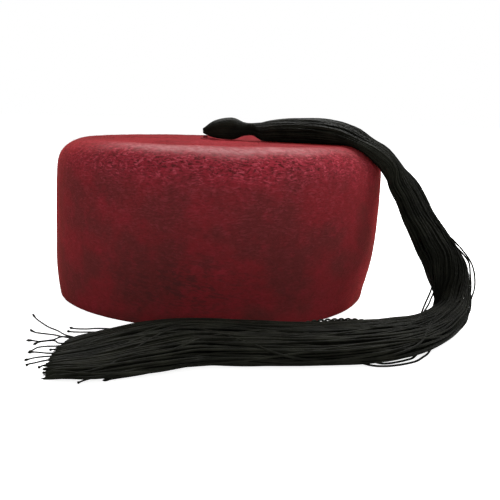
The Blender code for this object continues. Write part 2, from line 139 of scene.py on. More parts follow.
@dataclass(frozen=True)
class CrownForm:
    """Measures of the felt crown about its own axis, and the form that follows from them."""

    height: float = 0.092
    radius: float = 0.096
    rim_radius: float = 0.092
    side_bulge: float = 0.0016
    shoulder: float = 0.0183
    wall: float = 0.003
    rim_rounding: float = 0.0008
    lean: float = 0.0024
    nub_radius: float = 0.0013
    nub_height: float = 0.0025
    nub_foot: float = 0.0003
    nub_x: float = -0.0101

    @property
    def flat_radius(self) -> float:
        """Radius of the flat part of the top."""
        return self.radius - self.shoulder

    @property
    def shoulder_height(self) -> float:
        """Height where the side ends and the rounded shoulder starts."""
        return self.height - self.shoulder

    def side_radius(self, height: np.ndarray | float) -> np.ndarray | float:
        """Outer radius of the side at a height."""
        share = height / self.shoulder_height
        straight = self.rim_radius + (self.radius - self.rim_radius) * share
        return straight + self.side_bulge * 4 * share * (1 - share)

    def dent(self, bearing: np.ndarray, height: np.ndarray) -> np.ndarray:
        """How far the felt is pressed in.

        Args:
            bearing: degrees about the crown's axis, 0 towards +X.
            height: metres over the rim.

        Returns:
            The depth in metres, negative where the felt swells.
        """
        depth = np.zeros_like(bearing)
        for dent in DENTS:
            turn = (bearing - dent.bearing + 180) % 360 - 180
            rise = height / self.height - dent.height
            spread = (turn / dent.bearing_spread) ** 2 + (rise / dent.height_spread) ** 2
            depth = depth + dent.depth * self.radius * np.exp(-spread)
        return depth

    def lean_at(self, height: np.ndarray | float) -> np.ndarray | float:
        """How far the soft crown stands to +X of its rim at a height."""
        return self.lean * height / self.height

    def shaped(self, points: np.ndarray, outside: np.ndarray) -> np.ndarray:
        """Gives a turned form the crown's lean, its dents and the place of its nub.

        Args:
            points: places on the turned form, one a row.
            outside: true where a point is on the felt's outer face.

        Returns:
            The points where the real felt has them.
        """
        radius = np.hypot(points[:, 0], points[:, 1])
        angle = np.arctan2(points[:, 1], points[:, 0])
        height = points[:, 2]
        half = self.flat_radius / 2
        on_side = np.clip((radius - half) / half, 0, 1)
        out = radius - self.dent(np.degrees(angle), height) * on_side
        nub = self.nub_x * np.clip(1 - radius / self.flat_radius, 0, 1) * outside
        x = out * np.cos(angle) + nub + self.lean_at(height)
        return np.column_stack([x, out * np.sin(angle), height])

    def clear_of(self, points: np.ndarray, gap: np.ndarray) -> np.ndarray:
        """Pushes points out of the crown's flat top and shoulder.

        Args:
            points: places, one a row.
            gap: the least distance from the felt for each point.

        Returns:
            The points, each at least its gap outside the top and the shoulder.
        """
        kept = points.copy()
        lean = self.lean
        radius = np.hypot(points[:, 0] - lean, points[:, 1])
        keep = self.shoulder + gap
        near = (points[:, 2] >= self.shoulder_height) & (radius <= self.flat_radius + keep)
        flat = near & (radius <= self.flat_radius)
        kept[flat, 2] = np.maximum(points[flat, 2], (self.height + gap)[flat])
        off_x = radius - self.flat_radius
        off_z = points[:, 2] - self.shoulder_height
        distance = np.hypot(off_x, off_z)
        bent = near & ~flat & (distance < keep)
        push = keep[bent] / distance[bent]
        grown = (self.flat_radius + off_x[bent] * push) / radius[bent]
        kept[bent, 0] = lean + (points[bent, 0] - lean) * grown
        kept[bent, 1] = points[bent, 1] * grown
        kept[bent, 2] = self.shoulder_height + off_z[bent] * push
        return kept


def bearings(points: np.ndarray) -> np.ndarray:
    """Each point's bearing about the axis in degrees, 0 towards +X."""
    return np.degrees(np.arctan2(points[:, 1], points[:, 0]))


def distances(line: np.ndarray) -> np.ndarray:
    """How far along a line each of its points is."""
    steps = np.linalg.norm(np.diff(line, axis=0), axis=1)
    return np.concatenate([[0], np.cumsum(steps)])


def smooth_read(
    table: np.ndarray, knots: np.ndarray, slopes: np.ndarray, along: np.ndarray
) -> np.ndarray:
    """Reads a table smoothly between its rows.

    Args:
        table: the values, one row for each knot.
        knots: each row's distance along its line.
        slopes: how fast each value changes at each knot.
        along: the distances to read at.

    Returns:
        The values, one row for each distance.
    """
    i = np.clip(np.searchsorted(knots, along, side="right") - 1, 0, len(knots) - 2)
    span = (knots[i + 1] - knots[i])[:, None]
    t = (along - knots[i])[:, None] / span
    start = (1 + 2 * t) * (1 - t) ** 2 * table[i] + t * (1 - t) ** 2 * span * slopes[i]
    end = t * t * (3 - 2 * t) * table[i + 1] + t * t * (t - 1) * span * slopes[i + 1]
    return start + end


def tube_faces(rings: int, sides: int) -> tuple[np.ndarray, np.ndarray]:
    """The faces of a closed tube.

    Args:
        rings: how many rings of points it has; its two end points follow them.
        sides: how many points a ring has.

    Returns:
        The four-sided faces between the rings, and the three-sided ones at the ends.
    """
    k = np.arange(sides)
    n = (k + 1) % sides
    low = np.arange(rings - 1)[:, None] * sides
    quads = np.stack([low + k, low + n, low + sides + n, low + sides + k], axis=2).reshape(-1, 4)
    last = (rings - 1) * sides
    foot = np.column_stack([np.full(sides, rings * sides), n, k])
    head = np.column_stack([np.full(sides, rings * sides + 1), last + k, last + n])
    return quads, np.concatenate([foot, head])


def rough_steps(start: float, end: float, step: float) -> list[float]:
    """Evenly spaced values after start up to end, about step apart."""
    count = max(1, round(abs(end - start) / step))
    return [start + (end - start) * k / count for k in range(1, count + 1)]


def deselect() -> None:
    """Leaves object mode with nothing selected."""
    if bpy.context.mode != "OBJECT":
        bpy.ops.object.mode_set(mode="OBJECT")
    bpy.ops.object.select_all(action="DESELECT")


def apply_modifiers(piece: bpy.types.Object) -> None:
    """Applies every modifier of a piece, in order."""
    deselect()
    piece.select_set(True)
    bpy.context.view_layer.objects.active = piece
    for modifier in list(piece.modifiers):
        bpy.ops.object.modifier_apply(modifier=modifier.name)


def read_points(piece: bpy.types.Object) -> np.ndarray:
    """The places of a mesh piece's vertices, one a row."""
    flat = np.zeros(len(piece.data.vertices) * 3, np.float32)
    piece.data.vertices.foreach_get("co", flat)
    return flat.reshape(-1, 3).astype(float)


def write_points(piece: bpy.types.Object, points: np.ndarray) -> None:
    """Puts a mesh piece's vertices at the given places."""
    piece.data.vertices.foreach_set("co", points.astype(np.float32).ravel())
    piece.data.update()


def set_attribute(piece: bpy.types.Object, name: str, values: np.ndarray) -> None:
    """Stores one number for each vertex, for the piece's material to read."""
    layer = piece.data.attributes.new(name, "FLOAT", "POINT")
    layer.data.foreach_set("value", values.astype(np.float32))


def array_mesh(
    name: str, points: np.ndarray, faces: Sequence[np.ndarray], uvs: Sequence[np.ndarray] = ()
) -> bpy.types.Object:
    """Makes a piece from arrays.

    Args:
        name: the piece's name.
        points: vertex places, one a row.
        faces: arrays of vertex numbers, one face a row; each array has faces of one size.
        uvs: for each array of faces, the map places of its corners.

    Returns:
        The new object, at the origin, shaded smooth.
    """
    mesh = bpy.data.meshes.new(name)
    corners = np.concatenate([f.ravel() for f in faces])
    sizes = np.concatenate([np.full(len(f), f.shape[1]) for f in faces])
    starts = np.concatenate([[0], np.cumsum(sizes)[:-1]])
    mesh.vertices.add(len(points))
    mesh.vertices.foreach_set("co", points.astype(np.float32).ravel())
    mesh.loops.add(len(corners))
    mesh.loops.foreach_set("vertex_index", corners.astype(np.int32))
    mesh.polygons.add(len(sizes))
    mesh.polygons.foreach_set("loop_start", starts.astype(np.int32))
    if uvs:
        layer = mesh.uv_layers.new(name="thread_map")
        layer.data.foreach_set("uv", np.concatenate([u.ravel() for u in uvs]).astype(np.float32))
    mesh.update(calc_edges=True)
    mesh.validate()
    mesh.shade_smooth()
    piece = bpy.data.objects.new(name, mesh)
    bpy.context.scene.collection.objects.link(piece)
    return piece


class NodeSheet:
    """Short calls for laying out the nodes of a material or a group."""

    def __init__(self, tree: bpy.types.NodeTree) -> None:
        """Takes the tree that the nodes go in."""
        self.tree = tree

    def add(self, kind: str, **settings: object) -> bpy.types.Node:
        """Adds a node and sets its properties.

        Args:
            kind: the node's type name.
            settings: property values; a name that starts with in_ sets that input socket.

        Returns:
            The node.
        """
        node = self.tree.nodes.new(kind)
        for name, value in settings.items():
            if name.startswith("in_"):
                node.inputs[name[3:].replace("_", " ")].default_value = value
            else:
                setattr(node, name, value)
        return node

    def link(self, source: bpy.types.NodeSocket, target: bpy.types.NodeSocket) -> None:
        """Joins an output socket to an input socket."""
        self.tree.links.new(source, target)

    def feed(self, value: object, socket: bpy.types.NodeSocket) -> None:
        """Gives an input socket what it reads: another socket, a colour or a number."""
        if isinstance(value, bpy.types.NodeSocket):
            self.link(value, socket)
        elif isinstance(value, tuple):
            socket.default_value = (*value, 1.0)
        else:
            socket.default_value = value

    def mix(self, share: bpy.types.NodeSocket, low: object, high: object) -> bpy.types.NodeSocket:
        """Mixes two colours by a mask.

        Args:
            share: the socket with the mask.
            low: colour or socket where the mask is 0.
            high: colour or socket where the mask is 1.

        Returns:
            The mixed colour's socket.
        """
        node = self.add("ShaderNodeMix", data_type="RGBA")
        self.link(share, node.inputs[0])
        self.feed(low, node.inputs[6])
        self.feed(high, node.inputs[7])
        return node.outputs[2]

    def ramp(self, source: bpy.types.NodeSocket, low: float, high: float) -> bpy.types.NodeSocket:
        """Stretches a value smoothly, so that low becomes 0 and high becomes 1."""
        node = self.add("ShaderNodeMapRange", interpolation_type="SMOOTHSTEP")
        node.inputs["From Min"].default_value = low
        node.inputs["From Max"].default_value = high
        self.link(source, node.inputs["Value"])
        return node.outputs["Result"]

    def math(self, operation: str, first: object, second: object) -> bpy.types.NodeSocket:
        """Works on two values, each a socket or a number, and returns the result's socket."""
        node = self.add("ShaderNodeMath", operation=operation)
        self.feed(first, node.inputs[0])
        self.feed(second, node.inputs[1])
        return node.outputs[0]

    def line(self, value: bpy.types.NodeSocket, slope: float, start: float) -> bpy.types.NodeSocket:
        """Works out slope times a value, plus start."""
        return self.math("ADD", self.math("MULTIPLY", value, slope), start)

    def noise(self, place: bpy.types.NodeSocket, **settings: float) -> bpy.types.Node:
        """Adds a noise texture that is read at a place, with settings as for add."""
        node = self.add("ShaderNodeTexNoise", **settings)
        self.link(place, node.inputs["Vector"])
        return node

    def mapped(
        self, place: bpy.types.NodeSocket, kind: str, **settings: Sequence[float]
    ) -> bpy.types.NodeSocket:
        """Moves, turns or stretches a place, with settings as for add, and returns its socket."""
        node = self.add("ShaderNodeMapping", vector_type=kind, **settings)
        self.link(place, node.inputs["Vector"])
        return node.outputs[0]

    def attribute(self, name: str) -> bpy.types.NodeSocket:
        """Reads a number that is stored on the piece, and returns its socket."""
        return self.add("ShaderNodeAttribute", attribute_name=name).outputs["Fac"]


def start_material(
    name: str, seen: tuple[float, float, float], sockets: dict[str, object]
) -> tuple[bpy.types.Material, NodeSheet, bpy.types.Node]:
    """Makes a material with the constant inputs of its shader set.

    Args:
        name: the material's name.
        seen: its colour in a plain viewport.
        sockets: the shader's inputs and their values.

    Returns:
        The material, the sheet of its nodes and its shader.
    """
    material = bpy.data.materials.new(name)
    material.use_nodes = True
    material.diffuse_color = (*seen, 1.0)
    shader = material.node_tree.nodes["Principled BSDF"]
    for socket, value in sockets.items():
        shader.inputs[socket].default_value = value
    return material, NodeSheet(material.node_tree), shader


def fibre_group() -> bpy.types.NodeTree:
    """Builds the group for short matted fibres: streaks that bend and cross, and fine grain.

    Returns:
        The group, with a place and two scales in, and streaks and grain out.
    """
    group = bpy.data.node_groups.new("matted_fibres", "ShaderNodeTree")
    for name, way, kind in (
        ("Place", "INPUT", "NodeSocketVector"),
        ("Streak Scale", "INPUT", "NodeSocketFloat"),
        ("Grain Scale", "INPUT", "NodeSocketFloat"),
        ("Streaks", "OUTPUT", "NodeSocketFloat"),
        ("Grain", "OUTPUT", "NodeSocketFloat"),
    ):
        group.interface.new_socket(name, in_out=way, socket_type=kind)
    sheet = NodeSheet(group)
    inner = sheet.add("NodeGroupInput")
    outer = sheet.add("NodeGroupOutput")
    swirl = sheet.noise(inner.outputs["Place"], in_Scale=110.0, in_Detail=2.0)
    bend = sheet.add("ShaderNodeVectorMath", operation="MULTIPLY_ADD")
    bend.inputs[1].default_value = (0.005, 0.005, 0.004)
    sheet.link(swirl.outputs["Color"], bend.inputs[0])
    sheet.link(inner.outputs["Place"], bend.inputs[2])
    streak_sets = []
    for turn in ((0.06, 0.0, 0.0), (0.32, 0.22, 0.0)):
        squeezed = sheet.mapped(bend.outputs[0], "POINT", in_Rotation=turn, in_Scale=(0.40, 0.40, 1.60))
        streak = sheet.noise(squeezed, in_Detail=2.5, in_Roughness=0.58)
        sheet.link(inner.outputs["Streak Scale"], streak.inputs["Scale"])
        streak_sets.append(streak.outputs["Fac"])
    crossed = sheet.math("MAXIMUM", *streak_sets)
    sheet.link(sheet.ramp(crossed, 0.48, 0.68), outer.inputs["Streaks"])
    lying = sheet.mapped(bend.outputs[0], "POINT", in_Scale=(0.55, 0.55, 1.30))
    grain = sheet.noise(lying, in_Detail=4.0, in_Roughness=0.7)
    sheet.link(inner.outputs["Grain Scale"], grain.inputs["Scale"])
    sheet.link(grain.outputs["Fac"], outer.inputs["Grain"])
    return group


@dataclass(frozen=True)
class FeltFinish:
    """Dark crimson wool felt with a matted, brushed nap. Colours are linear, scales are per metre."""

    name: str = "brushed_felt"
    pore_shade: tuple[float, float, float] = (0.060, 0.0140, 0.0130)
    crease_shade: tuple[float, float, float] = (0.056, 0.0185, 0.0175)
    deep: tuple[float, float, float] = (0.100, 0.0190, 0.0182)
    middle: tuple[float, float, float] = (0.166, 0.0170, 0.0196)
    bright: tuple[float, float, float] = (0.290, 0.0200, 0.0330)
    brushed: tuple[float, float, float] = (0.400, 0.0300, 0.0520)
    fibre_highlight: tuple[float, float, float] = (0.680, 0.1300, 0.1700)
    wear_and_highlight: tuple[float, float, float] = (0.400, 0.1620, 0.1680)
    roughness: float = 0.92
    pressed_roughness: float = 0.60
    ior: float = 1.25
    specular: float = 0.05
    sheen: float = 0.32
    sheen_roughness: float = 0.30
    sheen_tint: tuple[float, float, float] = (1.0, 0.07, 0.06)
    relief: float = 0.00050
    broad_scale: float = 38.0
    patch_scale: float = 120.0
    clump_scale: float = 260.0
    fold_scale: float = 700.0
    streak_scale: float = 820.0
    grain_scale: float = 900.0
    bright_share: float = 0.34
    fibre_highlight_share: float = 0.54
    fold_turn: float = 0.16
    fold_stretch: float = 3.4
    pressed_flat: float = 0.85

    def build(self, fibres: bpy.types.NodeTree, centre: Vector) -> bpy.types.Material:
        """Lays out the felt's nodes.

        Args:
            fibres: the group for matted fibres.
            centre: the foot of the crown's axis, which the pattern is centred on.

        Returns:
            The material.
        """
        sockets = {
            "IOR": self.ior,
            "Specular IOR Level": self.specular,
            "Sheen Weight": self.sheen,
            "Sheen Roughness": self.sheen_roughness,
            "Sheen Tint": (*self.sheen_tint, 1.0),
        }
        material, sheet, shader = start_material(self.name, self.middle, sockets)
        place = sheet.add("ShaderNodeTexCoord")
        from_axis = (-centre.x, -centre.y, 0.0)
        spot = sheet.mapped(place.outputs["Object"], "POINT", in_Location=from_axis)
        broad = sheet.noise(spot, in_Scale=self.broad_scale, in_Detail=2.0)
        patch = sheet.noise(spot, in_Scale=self.patch_scale, in_Detail=4.0, in_Roughness=0.6)
        clump = sheet.noise(spot, in_Scale=self.clump_scale, in_Detail=2.0)
        nap = sheet.add("ShaderNodeGroup", node_tree=fibres)
        nap.inputs["Streak Scale"].default_value = self.streak_scale
        nap.inputs["Grain Scale"].default_value = self.grain_scale
        sheet.link(spot, nap.inputs["Place"])
        raised = sheet.attribute("nap")
        pressed_and_highlight = sheet.attribute("pressed_and_highlight")

        # mottled ground, brushed fibres over it with a painted highlight on their streaks, and dark pores
        # between them, which are painted shade
        ground = sheet.mix(sheet.ramp(broad.outputs["Fac"], 0.40, 0.61), self.deep, self.middle)
        patches = sheet.math("MULTIPLY", sheet.ramp(patch.outputs["Fac"], 0.48, 0.76), self.bright_share)
        ground = sheet.mix(patches, ground, self.bright)
        clumps = sheet.ramp(clump.outputs["Fac"], 0.32, 0.62)
        streaks = sheet.math("MULTIPLY", nap.outputs["Streaks"], clumps)
        covered = sheet.math("MULTIPLY", sheet.line(streaks, 0.55, 0.55), raised)
        lying = sheet.mix(covered, ground, self.brushed)
        # the raised fibres' streaks get a painted highlight, strongest high on the front
        strength = sheet.math("MULTIPLY", streaks, raised)
        lit = sheet.mix(sheet.math("MULTIPLY", strength, self.fibre_highlight_share), lying, self.fibre_highlight)
        # painted shade in the pores, deeper where the nap stands up
        depth = sheet.line(raised, 0.62, 0.34)
        pore_shade_mask = sheet.math("MULTIPLY", sheet.ramp(nap.outputs["Grain"], 0.56, 0.36), depth)
        lit = sheet.mix(pore_shade_mask, lit, self.pore_shade)

        # painted shade along fine creases low on the front, and the pressed, worn band where the nap
        # carries a painted highlight
        laid = sheet.mapped(
            spot,
            "TEXTURE",
            in_Rotation=(0.0, self.fold_turn, 0.0),
            in_Scale=(self.fold_stretch, self.fold_stretch, 1.0),
        )
        folds = sheet.noise(laid, in_Scale=self.fold_scale, in_Detail=2.0, in_Distortion=0.8)
        # painted shade along the creases' fold lines
        fold_shade_lines = sheet.ramp(folds.outputs["Fac"], 0.47, 0.61)
        lit = sheet.mix(sheet.math("MULTIPLY", fold_shade_lines, sheet.attribute("crease_shade_mask")), lit, self.crease_shade)
        # painted highlight over the pressed, worn band, broken up by the folds
        uneven = sheet.line(sheet.ramp(folds.outputs["Fac"], 0.36, 0.62), -0.42, 0.98)
        colour = sheet.mix(sheet.math("MULTIPLY", pressed_and_highlight, uneven), lit, self.wear_and_highlight)
        sheet.link(colour, shader.inputs["Base Color"])

        smoothing = self.pressed_roughness - self.roughness
        sheet.link(sheet.line(pressed_and_highlight, smoothing, self.roughness), shader.inputs["Roughness"])
        matted = sheet.math("ADD", strength, nap.outputs["Grain"])
        height = sheet.math("MULTIPLY", matted, sheet.line(pressed_and_highlight, -self.pressed_flat, 1.0))
        bump = sheet.add("ShaderNodeBump", in_Strength=0.8, in_Distance=self.relief)
        sheet.link(height, bump.inputs["Height"])
        sheet.link(bump.outputs[0], shader.inputs["Normal"])
        return material


@dataclass(frozen=True)
class FuzzFinish:
    """The loose ends of the wool that stand off the felt."""

    name: str = "wool_fuzz"
    dark: tuple[float, float, float] = (0.120, 0.010, 0.014)
    light: tuple[float, float, float] = (0.300, 0.026, 0.040)
    roughness: float = 0.8
    specular: float = 0.05

    def build(self) -> bpy.types.Material:
        """Lays out the fuzz's nodes and returns the material."""
        sockets = {"Roughness": self.roughness, "Specular IOR Level": self.specular}
        material, sheet, shader = start_material(self.name, self.light, sockets)
        sheet.link(sheet.mix(sheet.attribute("tone"), self.dark, self.light), shader.inputs["Base Color"])
        return material


@dataclass(frozen=True)
class ThreadFinish:
    """Soft black plied thread, a little olive where the light catches it."""

    name: str = "black_thread"
    dark: tuple[float, float, float] = (0.0052, 0.0054, 0.0038)
    light: tuple[float, float, float] = (0.0182, 0.0187, 0.0132)
    roughness: float = 0.50
    ior: float = 1.20
    specular: float = 0.18
    twist_relief: float = 0.00008
    wear_scale: float = 95.0
    grain_scale: float = 1400.0

    def build(self, twisted: bool) -> bpy.types.Material:
        """Lays out the thread's nodes.

        Args:
            twisted: true on pieces whose map runs round and along each thread.

        Returns:
            The material.
        """
        name = self.name if twisted else f"{self.name}_plain"
        sockets = {"Roughness": self.roughness, "IOR": self.ior, "Specular IOR Level": self.specular}
        material, sheet, shader = start_material(name, self.light, sockets)
        place = sheet.add("ShaderNodeTexCoord")
        # random wear on the thread's tone
        wear_and_highlight = sheet.noise(place.outputs["Object"], in_Scale=self.wear_scale, in_Detail=3.0)
        tone = sheet.ramp(wear_and_highlight.outputs["Fac"], 0.40, 0.66)
        bump = sheet.add("ShaderNodeBump", in_Strength=0.7, in_Distance=self.twist_relief)
        if twisted:
            # the stored tone also carries the painted shade of the hanging part and the bend
            tone = sheet.math("MULTIPLY", sheet.math("ADD", tone, sheet.attribute("tone")), 0.5)
            split = sheet.add("ShaderNodeSeparateXYZ")
            sheet.link(place.outputs["UV"], split.inputs[0])
            lay = sheet.math("ADD", split.outputs["X"], split.outputs["Y"])
            ply = sheet.math("SINE", sheet.math("MULTIPLY", lay, 2 * math.pi), 0.0)
            sheet.link(ply, bump.inputs["Height"])
        else:
            grain = sheet.noise(place.outputs["Object"], in_Scale=self.grain_scale, in_Detail=3.0)
            sheet.link(grain.outputs["Fac"], bump.inputs["Height"])
        sheet.link(sheet.mix(tone, self.dark, self.light), shader.inputs["Base Color"])
        sheet.link(bump.outputs[0], shader.inputs["Normal"])
        return material


@dataclass
class FeltCrown:
    """The felt crown: one shell with a rounded shoulder, an open rim and a small nub on top."""

    form: CrownForm
    axis: Vector
    segments: int = 440
    fine_step: float = 0.0013
    coarse_step: float = 0.006
    fuzz_count: int = 46000
    fuzz_length: float = 0.0016
    fuzz_radius: float = 0.000035
    fuzz_root: float = 0.00012
    fuzz_over_table: float = 0.0004
    front_bearing: float = -86
    front_spread: float = 50
    back_share: float = 0.34
    inside_nap: float = 0.15
    pressed_turn: float = 25
    pressed_over: float = 22
    pressed_under: float = 13
    top_slack: float = 0.0004
    crease_bearing: float = -97
    crease_bearing_spread: float = 24
    crease_height: float = 0.021
    crease_height_spread: float = 0.017
    crease_most: float = 0.64

    def outer_outline(self) -> list[tuple[float, float]]:
        """Radius and height of the outside, from the nub's top down to the rim's foot."""
        form = self.form
        top = form.height + form.nub_height
        line = [(0.0, top)]
        for turn in rough_steps(0, math.pi / 2, math.pi / 12):
            drop = form.nub_radius * (1 - math.cos(turn))
            line.append((form.nub_radius * math.sin(turn), top - drop))
        for turn in rough_steps(0, math.pi / 2, math.pi / 6):
            out = form.nub_radius + form.nub_foot * (1 - math.cos(turn))
            line.append((out, form.height + form.nub_foot * (1 - math.sin(turn))))
        for radius in rough_steps(line[-1][0], form.flat_radius, self.fine_step):
            line.append((radius, form.height))
        for turn in rough_steps(0, math.pi / 2, self.fine_step / form.shoulder):
            out = form.flat_radius + form.shoulder * math.sin(turn)
            line.append((out, form.shoulder_height + form.shoulder * math.cos(turn)))
        for height in rough_steps(form.shoulder_height, form.rim_rounding, self.fine_step):
            line.append((form.side_radius(height), height))
        for turn in rough_steps(0, math.pi / 2, math.pi / 8):
            back = form.rim_rounding * (1 - math.cos(turn))
            line.append((form.rim_radius - back, form.rim_rounding * (1 - math.sin(turn))))
        return line

    def inner_outline(self) -> list[tuple[float, float]]:
        """Radius and height of the inside, from the rim's foot up to the middle of the roof."""
        form = self.form
        inside = form.rim_radius - form.wall
        line = []
        for turn in [0.0, *rough_steps(0, math.pi / 2, math.pi / 8)]:
            out = inside + form.rim_rounding * (1 - math.sin(turn))
            line.append((out, form.rim_rounding * (1 - math.cos(turn))))
        for height in rough_steps(form.rim_rounding, form.shoulder_height, self.coarse_step):
            line.append((form.side_radius(height) - form.wall, height))
        hollow = form.shoulder - form.wall
        for turn in rough_steps(0, math.pi / 2, math.pi / 10):
            out = form.flat_radius + hollow * math.cos(turn)
            line.append((out, form.shoulder_height + hollow * math.sin(turn)))
        for radius in rough_steps(form.flat_radius, 0.0, self.coarse_step):
            line.append((radius, form.height - form.wall))
        return line

    def spin_shell(self) -> bpy.types.Object:
        """Draws the felt's outline by extrusion and spins it round the axis.

        Returns:
            The closed, turned shell, before it is leant and dented.
        """
        outline = self.outer_outline() + self.inner_outline()
        deselect()
        bpy.ops.mesh.primitive_plane_add(size=0.001, location=(0, 0, 0))
        shell = bpy.context.object
        shell.name = shell.data.name = "felt_crown"
        bpy.ops.object.mode_set(mode="EDIT")
        bpy.ops.mesh.merge(type="CENTER")
        bpy.ops.transform.translate(value=(outline[0][0], 0, outline[0][1]))
        for (radius, height), (next_radius, next_height) in zip(outline, outline[1:]):
            step = (next_radius - radius, 0, next_height - height)
            bpy.ops.mesh.extrude_vertices_move(TRANSFORM_OT_translate={"value": step})
        bpy.ops.mesh.select_all(action="SELECT")
        bpy.ops.mesh.spin(
            steps=self.segments, angle=2 * math.pi, center=(0, 0, 0), axis=(0, 0, 1)
        )
        bpy.ops.mesh.select_all(action="SELECT")
        bpy.ops.mesh.remove_doubles(threshold=0.000005)
        bpy.ops.mesh.normals_make_consistent(inside=False)
        bpy.ops.mesh.faces_shade_smooth()
        bpy.ops.object.mode_set(mode="OBJECT")
        return shell

    def soften(self, shell: bpy.types.Object) -> None:
        """Raises the broad unevenness and the matted lumps of real felt on the shell."""
        for name, size, strength in (
            ("hand_shaped", 0.034, 0.00050),
            ("matted", 0.0060, 0.00020),
            ("nap_lumps", 0.0024, 0.00010),
        ):
            cloud = bpy.data.textures.new(name, "CLOUDS")
            cloud.noise_scale = size
            cloud.noise_depth = 1
            lift = shell.modifiers.new(name, "DISPLACE")
            lift.texture = cloud
            lift.texture_coords = "LOCAL"
            lift.strength = strength
            lift.mid_level = 0.5
        apply_modifiers(shell)

    def outside(self, points: np.ndarray) -> np.ndarray:
        """True for each point of the turned shell that is on the felt's outer face."""
        radius = np.hypot(points[:, 0], points[:, 1])
        height = points[:, 2]
        form = self.form
        middle = form.side_radius(np.clip(height, 0, form.shoulder_height)) - form.wall / 2
        on_shoulder = np.hypot(radius - form.flat_radius, height - form.shoulder_height)
        above = height > form.height - form.wall / 2
        around = on_shoulder > form.shoulder - form.wall / 2
        bent = (radius > form.flat_radius) & around & (height > form.shoulder_height)
        return above | bent | ((radius > middle) & (height <= form.shoulder_height))

    def front_share(self, points: np.ndarray) -> np.ndarray:
        """How much each point is brushed, worn and given painted highlights by its side: most at the
        front.
        """
        off_front = (bearings(points) - self.front_bearing + 180) % 360 - 180
        return self.back_share + (1 - self.back_share) * np.exp(-((off_front / self.front_spread) ** 4))

    def nap_at(self, points: np.ndarray) -> np.ndarray:
        """How much the nap is brushed up at each point, which also sets the fibres' painted highlight:
        most over the shoulder's front.
        """
        form = self.form
        drop = form.height - points[:, 2]
        radius = np.hypot(points[:, 0], points[:, 1])
        on_top = np.clip((radius - form.flat_radius + 0.010) / 0.016, 0.55, 1)
        brushed = sum(b.strength * np.exp(-(((drop - b.drop) / b.spread) ** 2)) for b in NAP_BANDS)
        return NAP_LEAST + brushed * on_top * self.front_share(points)

    def pressed_and_highlight_at(self, points: np.ndarray) -> np.ndarray:
        """How smooth the nap is pressed at each point, and how much painted highlight the felt gets there:
        most in a wavering band high on the shoulder.
        """
        form = self.form
        radius = np.hypot(points[:, 0], points[:, 1])
        turn = np.arctan2(radius - form.flat_radius, points[:, 2] - form.shoulder_height)
        around = np.radians(bearings(points))
        wander = 3.0 * np.sin(6 * around + 1) + 2.2 * np.sin(14 * around)
        off_band = np.degrees(turn) - self.pressed_turn + wander
        band = np.exp(-((off_band / np.where(off_band < 0, self.pressed_over, self.pressed_under)) ** 2))
        return band * self.front_share(points) ** 3 * (points[:, 2] > form.shoulder_height)

    def swollen_at(self, points: np.ndarray) -> np.ndarray:
        """How far the flat top swells up at each point, 0 elsewhere."""
        total = np.zeros(len(points))
        for swell in SWELLS:
            off_x = (points[:, 0] - swell.x) / swell.spread_x
            off_y = (points[:, 1] - swell.y) / swell.spread_y
            total += swell.rise * np.exp(-(off_x**2) - off_y**2)
        return total * (points[:, 2] > self.form.height - self.top_slack)

    def crease_shade_at(self, points: np.ndarray) -> np.ndarray:
        """How creased the felt is at each point, which sets the painted shade along its fold lines: most
        low on the front, left of the middle.
        """
        across = (bearings(points) - self.crease_bearing) / self.crease_bearing_spread
        up = (points[:, 2] - self.crease_height) / self.crease_height_spread
        return self.crease_most * np.exp(-(across**2) - up**2)

    def build_shell(self, felt: bpy.types.Material) -> bpy.types.Object:
        """Makes the shell, gives it its real form and dresses it.

        Args:
            felt: the felt's material.

        Returns:
            The finished piece.
        """
        shell = self.spin_shell()
        turned = read_points(shell)
        outside = self.outside(turned)
        nap = np.where(outside, self.nap_at(turned), self.inside_nap)
        write_points(shell, self.form.shaped(turned, outside))
        self.soften(shell)
        points = read_points(shell)
        points[:, 2] = np.maximum(points[:, 2], 0.0)
        points[:, 2] += np.where(outside, self.swollen_at(turned), 0.0)
        write_points(shell, points + np.array(self.axis))
        set_attribute(shell, "nap", nap)
        set_attribute(shell, "pressed_and_highlight", np.where(outside, self.pressed_and_highlight_at(turned), 0.0))
        set_attribute(shell, "crease_shade_mask", np.where(outside, self.crease_shade_at(turned), 0.0))
        shell.data.materials.append(felt)
        return shell

    def build_fuzz(self, fuzz: bpy.types.Material, draw: np.random.Generator) -> bpy.types.Object:
        """Lays short fibre ends over the outside, closest together along the shoulder.

        Args:
            fuzz: the fuzz's material.
            draw: the source of the fibres' places and turns.

        Returns:
            The finished piece.
        """
        outline = np.array(self.outer_outline())
        keep = outline[:, 0] > self.form.nub_radius * 2
        outline = outline[keep]
        steps = np.hypot(*np.diff(outline, axis=0).T)
        length = np.concatenate([[0], np.cumsum(steps)])
        fine = np.linspace(0, length[-1], 900)
        radius = np.interp(fine, length, outline[:, 0])
        height = np.interp(fine, length, outline[:, 1])
        turned = np.column_stack([radius, np.zeros_like(radius), height])
        smooth = 1 - 2 * self.pressed_and_highlight_at(turned)
        weight = radius * (0.35 + self.nap_at(turned)) * smooth * (height > 0.0012)
        share = np.cumsum(weight) / weight.sum()
        at = np.interp(draw.random(self.fuzz_count), share, fine)
        bearing = draw.random(self.fuzz_count) * 2 * math.pi
        slope_r = np.interp(at, fine, np.gradient(radius, fine))
        slope_z = np.interp(at, fine, np.gradient(height, fine))
        at_r = np.interp(at, fine, radius)
        at_z = np.interp(at, fine, height)
        ring = np.column_stack([np.cos(bearing), np.sin(bearing)])
        place = np.column_stack([ring * at_r[:, None], at_z])
        normal = np.column_stack([ring * -slope_z[:, None], slope_r])
        down = np.column_stack([ring * slope_r[:, None], slope_z])
        side = np.cross(normal, down)
        turn = draw.normal(0.0, 0.9, self.fuzz_count) + 0.5 * np.sin(bearing * 5 + at * 60)
